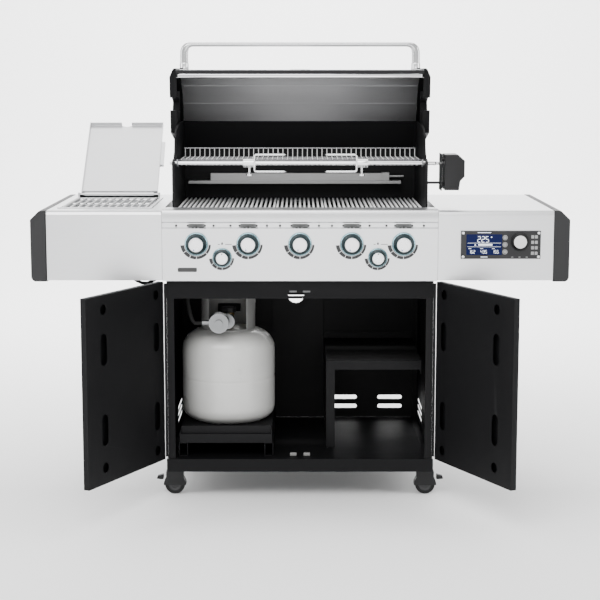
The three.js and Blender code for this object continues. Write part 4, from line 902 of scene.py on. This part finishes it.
TINE_REACH, TINE_SPREAD, TINE_RISE, TINE_RADIUS = 0.087, 0.013, 0.026, 0.0024
for side, sign in (("left", -1), ("right", 1)):
    low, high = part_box(f"spit_fork_{side}")
    plate_x = high[0] - 0.038 if sign > 0 else low[0] + 0.038
    centre = (0, spit_centre.y, spit_centre.z)
    hub_ends = sorted((plate_x, plate_x + sign * 0.038))
    parts = [turned("fork_hub", rounded([
        (0.0071, hub_ends[0]), (0.0135, hub_ends[0]), (0.0135, hub_ends[1]), (0.0071, hub_ends[1]),
        (0.0071, hub_ends[0])], 0.0015), centre, (1, 0, 0), chrome, 40)]
    tip = plate_x - sign * TINE_REACH
    root = plate_x + sign * 0.003
    for dy in (-TINE_SPREAD, TINE_SPREAD):
        y = centre[1] + dy
        parts.append(put("fork_tine", wire_mesh("fork_tine", bend([
            (tip, y, centre[2] + TINE_RISE), (root, y, centre[2] + TINE_RISE),
            (root, y, centre[2] - TINE_RISE), (tip, y, centre[2] - TINE_RISE)],
            0.007, 5), TINE_RADIUS, 12), chrome))
        for dz in (-TINE_RISE, TINE_RISE):
            parts.append(turned("fork_point", [(0, 0.010), (TINE_RADIUS, 0), (0, 0)],
                                (tip, y, centre[2] + dz), (-sign, 0, 0), chrome, 16))
    plate = sorted((plate_x, plate_x + sign * 0.005))
    parts.append(plain_box("fork_plate", (plate[0], centre[1] - 0.015, centre[2] - 0.012),
                           (plate[1], centre[1] + 0.015, centre[2] + 0.012), 0.0008, chrome, 2))
    screw_x = plate_x + sign * 0.019
    parts.append(turned("fork_screw", rounded([
        (0, centre[2] - 0.0395), (0.0085, centre[2] - 0.0395), (0.0085, centre[2] - 0.033),
        (0.0035, centre[2] - 0.0315), (0.0035, centre[2] - 0.012), (0, centre[2] - 0.012)], 0.001),
        (screw_x, centre[1], 0), (0, 0, 1), chrome, 28))
    fork = joined(f"spit_fork_{side}_wire", parts, chrome)
    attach(fork, f"spit_fork_{side}")
    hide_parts(f"spit_fork_{side}")

# ---------------------------------------------------------------- burner knobs
# Each knob is a silver-faced cap on a dark tinted cone, standing in a chromed bezel ring, and
# turns on its valve stem. A black enamel scale under it is printed on the panel, widest at "high".

knob_tint = grained("knob_tint", (0.004, 0.016, 0.019), (0.30, 0.42), 1200, 0.02, 0.0)
tune(knob_tint, Specular_IOR_Level=0.18)
knob_face = brushed_metal("knob_face", (0.88, 0.88, 0.89), (0.80, 0.80, 0.81), (0.22, 0.34), pull=(30, 1, 1))
enamel_black = grained("enamel_black", (0.008, 0.008, 0.009), (0.3, 0.4), 900, 0.03, 0.0)
pointer_blue = grained("pointer_blue", (0.03, 0.14, 0.42), (0.3, 0.4), 900, 0.02, 0.0)
bezel_blue = brushed_metal("bezel_blue", (0.40, 0.62, 0.68), (0.26, 0.44, 0.50), (0.16, 0.26), bump=0.01)
PANEL_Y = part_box("control_panel")[0][1]
ENAMEL = 0.0012


def slab(name, loops, front, back, material):
    """Flat printed or pressed shapes: each closed (X, Z) loop becomes a thin raised piece."""
    mesh = bpy.data.meshes.new(name)
    shape = bmesh.new()
    for loop in loops:
        near = [shape.verts.new((x, front, z)) for x, z in loop]
        far = [shape.verts.new((x, back, z)) for x, z in loop]
        shape.faces.new(near)
        shape.faces.new(far[::-1])
        for i in range(len(loop)):
            shape.faces.new((near[i], far[i], far[i - 1], near[i - 1]))
    bmesh.ops.recalc_face_normals(shape, faces=shape.faces)
    shape.to_mesh(mesh)
    shape.free()
    return put(name, mesh, material)


def arc_loop(x, z, inner, outer, start, stop, steps=10):
    """A piece of a ring as a loop; `outer` is the width's outer radius at the start and stop."""
    angles = [start + (stop - start) * i / steps for i in range(steps + 1)]
    wide = [outer[0] + (outer[1] - outer[0]) * i / steps for i in range(steps + 1)]
    return [(x + r * math.cos(a), z + r * math.sin(a)) for a, r in zip(angles, wide)] + [
        (x + inner * math.cos(a), z + inner * math.sin(a)) for a in reversed(angles)]


def rect(x, z, width, height, corner=0.0):
    """A rectangle as a loop, with its corners rounded."""
    loop = []
    for sx, sz, first in ((1, 1, 0), (-1, 1, 90), (-1, -1, 180), (1, -1, 270)):
        for step in range(5 if corner else 1):
            a = math.radians(first + 90 * step / 4)
            loop.append((x + sx * (width / 2 - corner) + corner * math.cos(a),
                         z + sz * (height / 2 - corner) + corner * math.sin(a)))
    return loop


scale_loops = []
knob_places = [(f"burner_knob_{n}", 0.034) for n in range(1, 6)]
knob_places += [("side_burner_knob", 0.028), ("rear_burner_knob", 0.028)]
for knob, size in knob_places:
    low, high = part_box(knob)
    x, z = (low[0] + high[0]) / 2, (low[2] + high[2]) / 2
    front, back = low[1], high[1]
    k = size / 0.034
    centre = (x, 0, z)
    ring = turned(f"{knob}_bezel", rounded([
        (0.0290 * k, back), (0.0358 * k, back), (0.0358 * k, back - 0.004), (0.0325 * k, back - 0.0085),
        (0.0290 * k, back - 0.006), (0.0290 * k, back)], 0.0015), centre, (0, 1, 0), bezel_blue, 80)
    cone = turned(f"{knob}_cone", rounded([
        (0.006, back - 0.001), (0.0316 * k, back - 0.001), (0.0316 * k, back - 0.008),
        (0.0255 * k, front + 0.006), (0.0226 * k, front + 0.0012), (0.0208 * k, front + 0.0012),
        (0.006, front + 0.0016), (0.006, back - 0.001)], 0.002), centre, (0, 1, 0), knob_tint, 80)
    cap = turned(f"{knob}_cap", rounded([
        (0.0, front + 0.003), (0.0215 * k, front + 0.003), (0.0215 * k, front + 0.0008),
        (0.0190 * k, front + 0.0002), (0.0, front)], 0.0012), centre, (0, 1, 0), knob_face, 80)
    dot_a = math.radians(248 if size > 0.03 else 90)
    dot = turned(f"{knob}_dot", [(0, front + 0.0012), (0.0022, front + 0.0012), (0.0022, front + 0.00005),
                                 (0, front + 0.00005)],
                 (x + 0.0165 * k * math.cos(dot_a), 0, z + 0.0165 * k * math.sin(dot_a)), (0, 1, 0),
                 pointer_blue if size > 0.03 else enamel_black, 20)
    fins = []
    for step in range(24):
        a = step / 24 * 2 * math.pi
        rise, run = math.sin(a), math.cos(a)
        fins.append(put("fin", bar_mesh("fin", (
            x + 0.0318 * k * run, back - 0.0105, z + 0.0318 * k * rise), (
            x + 0.0262 * k * run, front + 0.0065, z + 0.0262 * k * rise),
            [(-0.0007, -0.0007), (0.0007, -0.0007), (0.0007, 0.0007), (-0.0007, 0.0007)], False), knob_tint))
    fin_set = joined(f"{knob}_fins", fins, knob_tint)
    for piece in (ring, cone, cap, dot, fin_set):
        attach(piece, knob)
    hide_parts(knob)
    # the scale: five segments from nine o'clock, under the knob, to three o'clock
    cuts = [184, 214, 243, 270, 316, 358]
    for first, last in zip(cuts, cuts[1:]):
        wide = [0.0485 - 0.0050 * (a - 184) / 174 for a in (first, last)]
        scale_loops.append(arc_loop(x, z, 0.0372 * k, [w * k for w in wide],
                                    math.radians(first + 1.0), math.radians(last - 1.0)))
    # a small flame mark over the knob, a dash each side of it
    mark = z + 0.0475 * k
    scale_loops.append([(x - 0.0022, mark), (x + 0.0022, mark), (x + 0.0028, mark + 0.003),
                        (x, mark + 0.0085), (x - 0.0028, mark + 0.003)])
    scale_loops.append(rect(x - 0.010, mark + 0.001, 0.006, 0.0018))
    scale_loops.append(rect(x + 0.019, mark + 0.001, 0.020, 0.0016))
scales = slab("panel_scales", scale_loops, PANEL_Y - ENAMEL, PANEL_Y + 0.0002, enamel_black)
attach(scales, "frame")

# ---------------------------------------------------------------- panel trim
# The pressed strip across the panel holds a lamp lens over each large knob, two bright blanks
# and small screws. A plain enamel plate sits low on the left.

strip_y = PANEL_Y + 0.005
strip_z = middle("burner_knob_3").z + 0.0548
knob_x = [middle(f"burner_knob_{n}").x for n in range(1, 6)]
small_x = [middle("side_burner_knob").x, middle("rear_burner_knob").x]
lens_grey = grained("lens_grey", (0.10, 0.103, 0.103), (0.25, 0.35), 500, 0.04, 0.0)
tune(lens_grey, Specular_IOR_Level=0.25)
lens_rib_dark = grained("lens_rib_dark", (0.03, 0.03, 0.03), (0.3, 0.4), 500, 0.04, 0.0)
screw_steel = grained("screw_steel", (0.030, 0.030, 0.030), (0.35, 0.45), 700, 0.05, 0.2, 0.2)
lenses = slab("panel_lenses", [rect(x, strip_z, 0.049, 0.0115, 0.004) for x in knob_x],
              strip_y - 0.0022, strip_y + 0.0005, lens_grey)
lens_ribs = slab("panel_lens_ribs", [
    rect(x - 0.0155 + 0.0034 * i, strip_z, 0.0011, 0.0088) for x in knob_x for i in range(10)],
    strip_y - 0.0027, strip_y - 0.0020, lens_rib_dark)
blanks = slab("panel_blanks", [rect(x, strip_z, 0.040, 0.0100, 0.0035) for x in small_x],
              strip_y - 0.0016, strip_y + 0.0005, stainless)
trim_edges(lenses, 0.0008)
trim_edges(blanks, 0.0006)
for piece in (lenses, lens_ribs, blanks):
    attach(piece, "frame")


def screw_at(name, place, axis, radius, material):
    """A pan-head screw with a drive recess, standing on its face."""
    return turned(name, rounded([
        (radius, 0.0004), (radius, -0.0006), (radius * 0.7, -0.0016), (radius * 0.34, -0.0018),
        (radius * 0.30, -0.0008), (0, -0.0008)], radius * 0.2), place, axis, material, 28)


screw_xs = [-0.372, -0.099, -0.060, 0.057, 0.096, 0.372]
screw_xs += [x + s * 0.0255 for x in knob_x + small_x for s in (-1, 1)]
panel_screws = joined("panel_screws", [
    screw_at("panel_screw", (x, strip_y, strip_z), (0, 1, 0), 0.0036, screw_steel) for x in screw_xs],
    screw_steel)
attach(panel_screws, "frame")
plate_x, plate_z = knob_x[0] - 0.028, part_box("control_panel")[0][2] + 0.034
badge = slab("panel_badge", [rect(plate_x, plate_z, 0.058, 0.013, 0.003)], PANEL_Y - 0.0010, PANEL_Y + 0.0002,
             screw_steel)
badge_face = slab("panel_badge_face", [rect(plate_x, plate_z, 0.055, 0.0095, 0.002)], PANEL_Y - 0.0014,
                  PANEL_Y - 0.0009, screw_steel)
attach(badge, "frame")
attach(badge_face, "frame")

# ---------------------------------------------------------------- temperature controller
# A dark moulded housing screwed to the right shelf, with a lit display, three push buttons and a
# white-faced dial. Its readings are plain numbers.

finish_node("controller_housing", grey_plastic, 0.0015, 3)
house_low, house_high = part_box("controller_housing")
button_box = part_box("controller_button_2")
glass_navy = grained("glass_navy", (0.002, 0.004, 0.030), (0.3, 0.4), 400, 0.0, 0.0)
tune(glass_navy, Specular_IOR_Level=0.08, Emission_Color=(0.008, 0.016, 0.10, 1), Emission_Strength=0.4)
lit_white = grained("lit_white", (0.8, 0.85, 0.95), (0.3, 0.4), 400, 0.0, 0.0)
tune(lit_white, Emission_Color=(0.80, 0.88, 1.0, 1), Emission_Strength=0.9)
label_grey = grained("label_grey", (0.30, 0.30, 0.30), (0.4, 0.5), 900, 0.03, 0.0)
housing_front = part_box("shelf_right")[0][1] - 0.0072
screen_left, screen_right = house_low[0] + 0.016, button_box[0][0] - 0.004
screen_low, screen_high = house_low[2] + 0.012, house_high[2] - 0.010
screen_x, screen_z = (screen_left + screen_right) / 2, (screen_low + screen_high) / 2
screen = slab("controller_screen", [rect(screen_x, screen_z, screen_right - screen_left,
                                         screen_high - screen_low, 0.0015)],
              housing_front - 0.0004, housing_front + 0.003, glass_navy)
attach(screen, "frame")

SEGMENTS = {"0": "abcdef", "1": "bc", "2": "abged", "3": "abgcd", "4": "fgbc", "5": "afgcd",
            "6": "afgcde", "7": "abc", "8": "abcdefg", "9": "abcdfg"}


def digit_loops(text, x, z, height):
    """Seven-segment figures; x is the left edge and z the bottom of the row."""
    loops = []
    wide, bar = height * 0.5, height * 0.11
    for place, figure in enumerate(text):
        left = x + place * height * 0.72
        flat = {"a": height, "g": height / 2, "d": 0}
        upright = {"f": (0, 1), "b": (1, 1), "e": (0, 0), "c": (1, 0)}
        for part in SEGMENTS[figure]:
            if part in flat:
                loops.append(rect(left + wide / 2, z + flat[part], wide * 0.8, bar))
            else:
                side, level = upright[part]
                loops.append(rect(left + side * wide, z + height * (0.25 + 0.5 * level), bar, height * 0.38))
    return loops


screen_width = screen_right - screen_left
lit = digit_loops("225", screen_x - 0.020, screen_high - 0.0235, 0.017)
lit.append(rect(screen_x + 0.0215, screen_high - 0.0085, 0.0036, 0.0036, 0.0016))
lit.append(rect(screen_x + 0.003, screen_high - 0.0312, 0.042, 0.0048, 0.001))
lit.append([(screen_x - 0.030, screen_high - 0.0335), (screen_x - 0.024, screen_high - 0.0335),
            (screen_x - 0.027, screen_high - 0.029)])
lit.append(rect(screen_x, screen_high - 0.0262, screen_width * 0.94, 0.0006))
lit.append(rect(screen_x, screen_high - 0.0375, screen_width * 0.94, 0.0006))
for i, text in enumerate(("162", "435", "155")):
    left = screen_left + screen_width * (0.06 + 0.33 * i)
    lit += digit_loops(text, left + 0.001, screen_low + 0.0045, 0.0095)
    lit.append(rect(left + 0.004, screen_low + 0.019, 0.008, 0.0012))
lit.append(rect(screen_x, house_low[2] + 0.0058, 0.020, 0.0016))
lit.append(rect(screen_x, house_high[2] - 0.0048, 0.040, 0.0016))
readings = slab("controller_readings", lit, housing_front - 0.0008, housing_front - 0.0002, lit_white)
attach(readings, "frame")

dial_low, dial_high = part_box("controller_dial")
dial_centre = (middle("controller_dial").x, 0, middle("controller_dial").z)
dial_cone = turned("controller_dial_cone", rounded([
    (0.0045, dial_high[1]), (0.0268, dial_high[1]), (0.0268, dial_high[1] - 0.003),
    (0.0222, dial_low[1] + 0.003), (0.0195, dial_low[1] + 0.001), (0.0045, dial_low[1] + 0.001),
    (0.0045, dial_high[1])], 0.0012), dial_centre, (0, 1, 0), black_plastic, 72)
dial_face = turned("controller_dial_face", rounded([
    (0, dial_low[1] + 0.003), (0.0192, dial_low[1] + 0.003), (0.0192, dial_low[1] + 0.0006),
    (0, dial_low[1])], 0.001), dial_centre, (0, 1, 0), white_face, 64)
dial_grips = joined("controller_dial_grips", [put("grip", bar_mesh("grip", (
    dial_centre[0] + 0.0262 * math.cos(a), dial_high[1] - 0.0035, dial_centre[2] + 0.0262 * math.sin(a)), (
    dial_centre[0] + 0.0225 * math.cos(a), dial_low[1] + 0.003, dial_centre[2] + 0.0225 * math.sin(a)),
    [(-0.0006, -0.0006), (0.0006, -0.0006), (0.0006, 0.0006), (-0.0006, 0.0006)], False), black_plastic)
    for a in (k / 36 * 2 * math.pi for k in range(36))], black_plastic)
for piece in (dial_cone, dial_face, dial_grips):
    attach(piece, "controller_dial")
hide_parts("controller_dial")

for n in (1, 2, 3):
    low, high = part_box(f"controller_button_{n}")
    at = ((low[0] + high[0]) / 2, 0, (low[2] + high[2]) / 2)
    button = turned(f"controller_button_{n}_cap", rounded([
        (0, high[1]), (0.0049, high[1]), (0.0049, low[1] + 0.0008), (0.0036, low[1]), (0, low[1] + 0.0004)],
        0.0008), at, (0, 1, 0), label_grey, 32)
    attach(button, f"controller_button_{n}")
    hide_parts(f"controller_button_{n}")
    halo = turned(f"controller_button_{n}_ring", rounded([
        (0.0056, housing_front + 0.0002), (0.0078, housing_front + 0.0002), (0.0074, housing_front - 0.0008),
        (0.0060, housing_front - 0.0008), (0.0056, housing_front + 0.0002)], 0.0003),
        at, (0, 1, 0), label_grey, 40)
    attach(halo, "frame")

labels = []
for row in range(4):
    for column in range(2):
        labels.append(rect(house_high[0] - 0.0245 + 0.011 * column, screen_high - 0.0075 - 0.0165 * row,
                           0.0085, 0.0095, 0.001))
for k in (-1, 0, 1):
    labels.append(rect(dial_centre[0] + 0.022 * k, house_low[2] + 0.0055, 0.006, 0.0018))
label_set = slab("controller_labels", labels, housing_front - 0.0004, housing_front + 0.0002, label_grey)
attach(label_set, "frame")
house_screws = joined("controller_screws", [
    screw_at("controller_screw", (x, housing_front, z), (0, 1, 0), 0.0042, knob_face)
    for x in (house_low[0] + 0.0062, house_high[0] - 0.0062)
    for z in (house_low[2] + 0.0062, house_high[2] - 0.0062)], knob_face)
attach(house_screws, "frame")

# ---------------------------------------------------------------- hinge leaves and door catches
# Each door hangs on a long folded leaf at the front edge of its side panel, and closes on two
# spring catches: plated strips on the top rail and stubs on the base pan.

LEAF_WIDTH, LEAF_INSET, CATCH_X = 0.0084, 0.006, 0.021
door_low, door_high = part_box("door_left")
side_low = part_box("side_panel_left")[0]
for side, sign in (("left", -1), ("right", 1)):
    near = -side_low[0] + 0.0002
    edge = sorted((sign * near, sign * (near + LEAF_WIDTH)))
    leaf = plain_box(f"hinge_leaf_{side}", (edge[0], side_low[1] + 0.0006, door_low[2] + LEAF_INSET),
                     (edge[1], side_low[1] + 0.0018, door_high[2] - LEAF_INSET), 0.0003, black_steel, 1)
    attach(leaf, "frame")
rail_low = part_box("top_rail")[0]
catch_strips = slab("door_catch_strips", [
    rect(x, rail_low[2] + rise, 0.022, 0.0011) for x in (-0.021, 0.020) for rise in (0.0205, 0.0232)],
    rail_low[1] - 0.0005, rail_low[1] + 0.0002, zinc)
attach(catch_strips, "frame")
pan_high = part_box("cabinet_shelf")[0][2]
# The stubs reuse the collar's darker grey, which on the collar is painted shade.
catch_stubs = joined("door_catch_stubs", [
    plain_box("door_catch_stub", (x - 0.010, side_low[1] + 0.034, pan_high), (
        x + 0.010, side_low[1] + 0.046, pan_high + 0.009), 0.001, collar_painted_shade_grey, 2)
    for x in (-CATCH_X, CATCH_X)], collar_painted_shade_grey)
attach(catch_stubs, "frame")
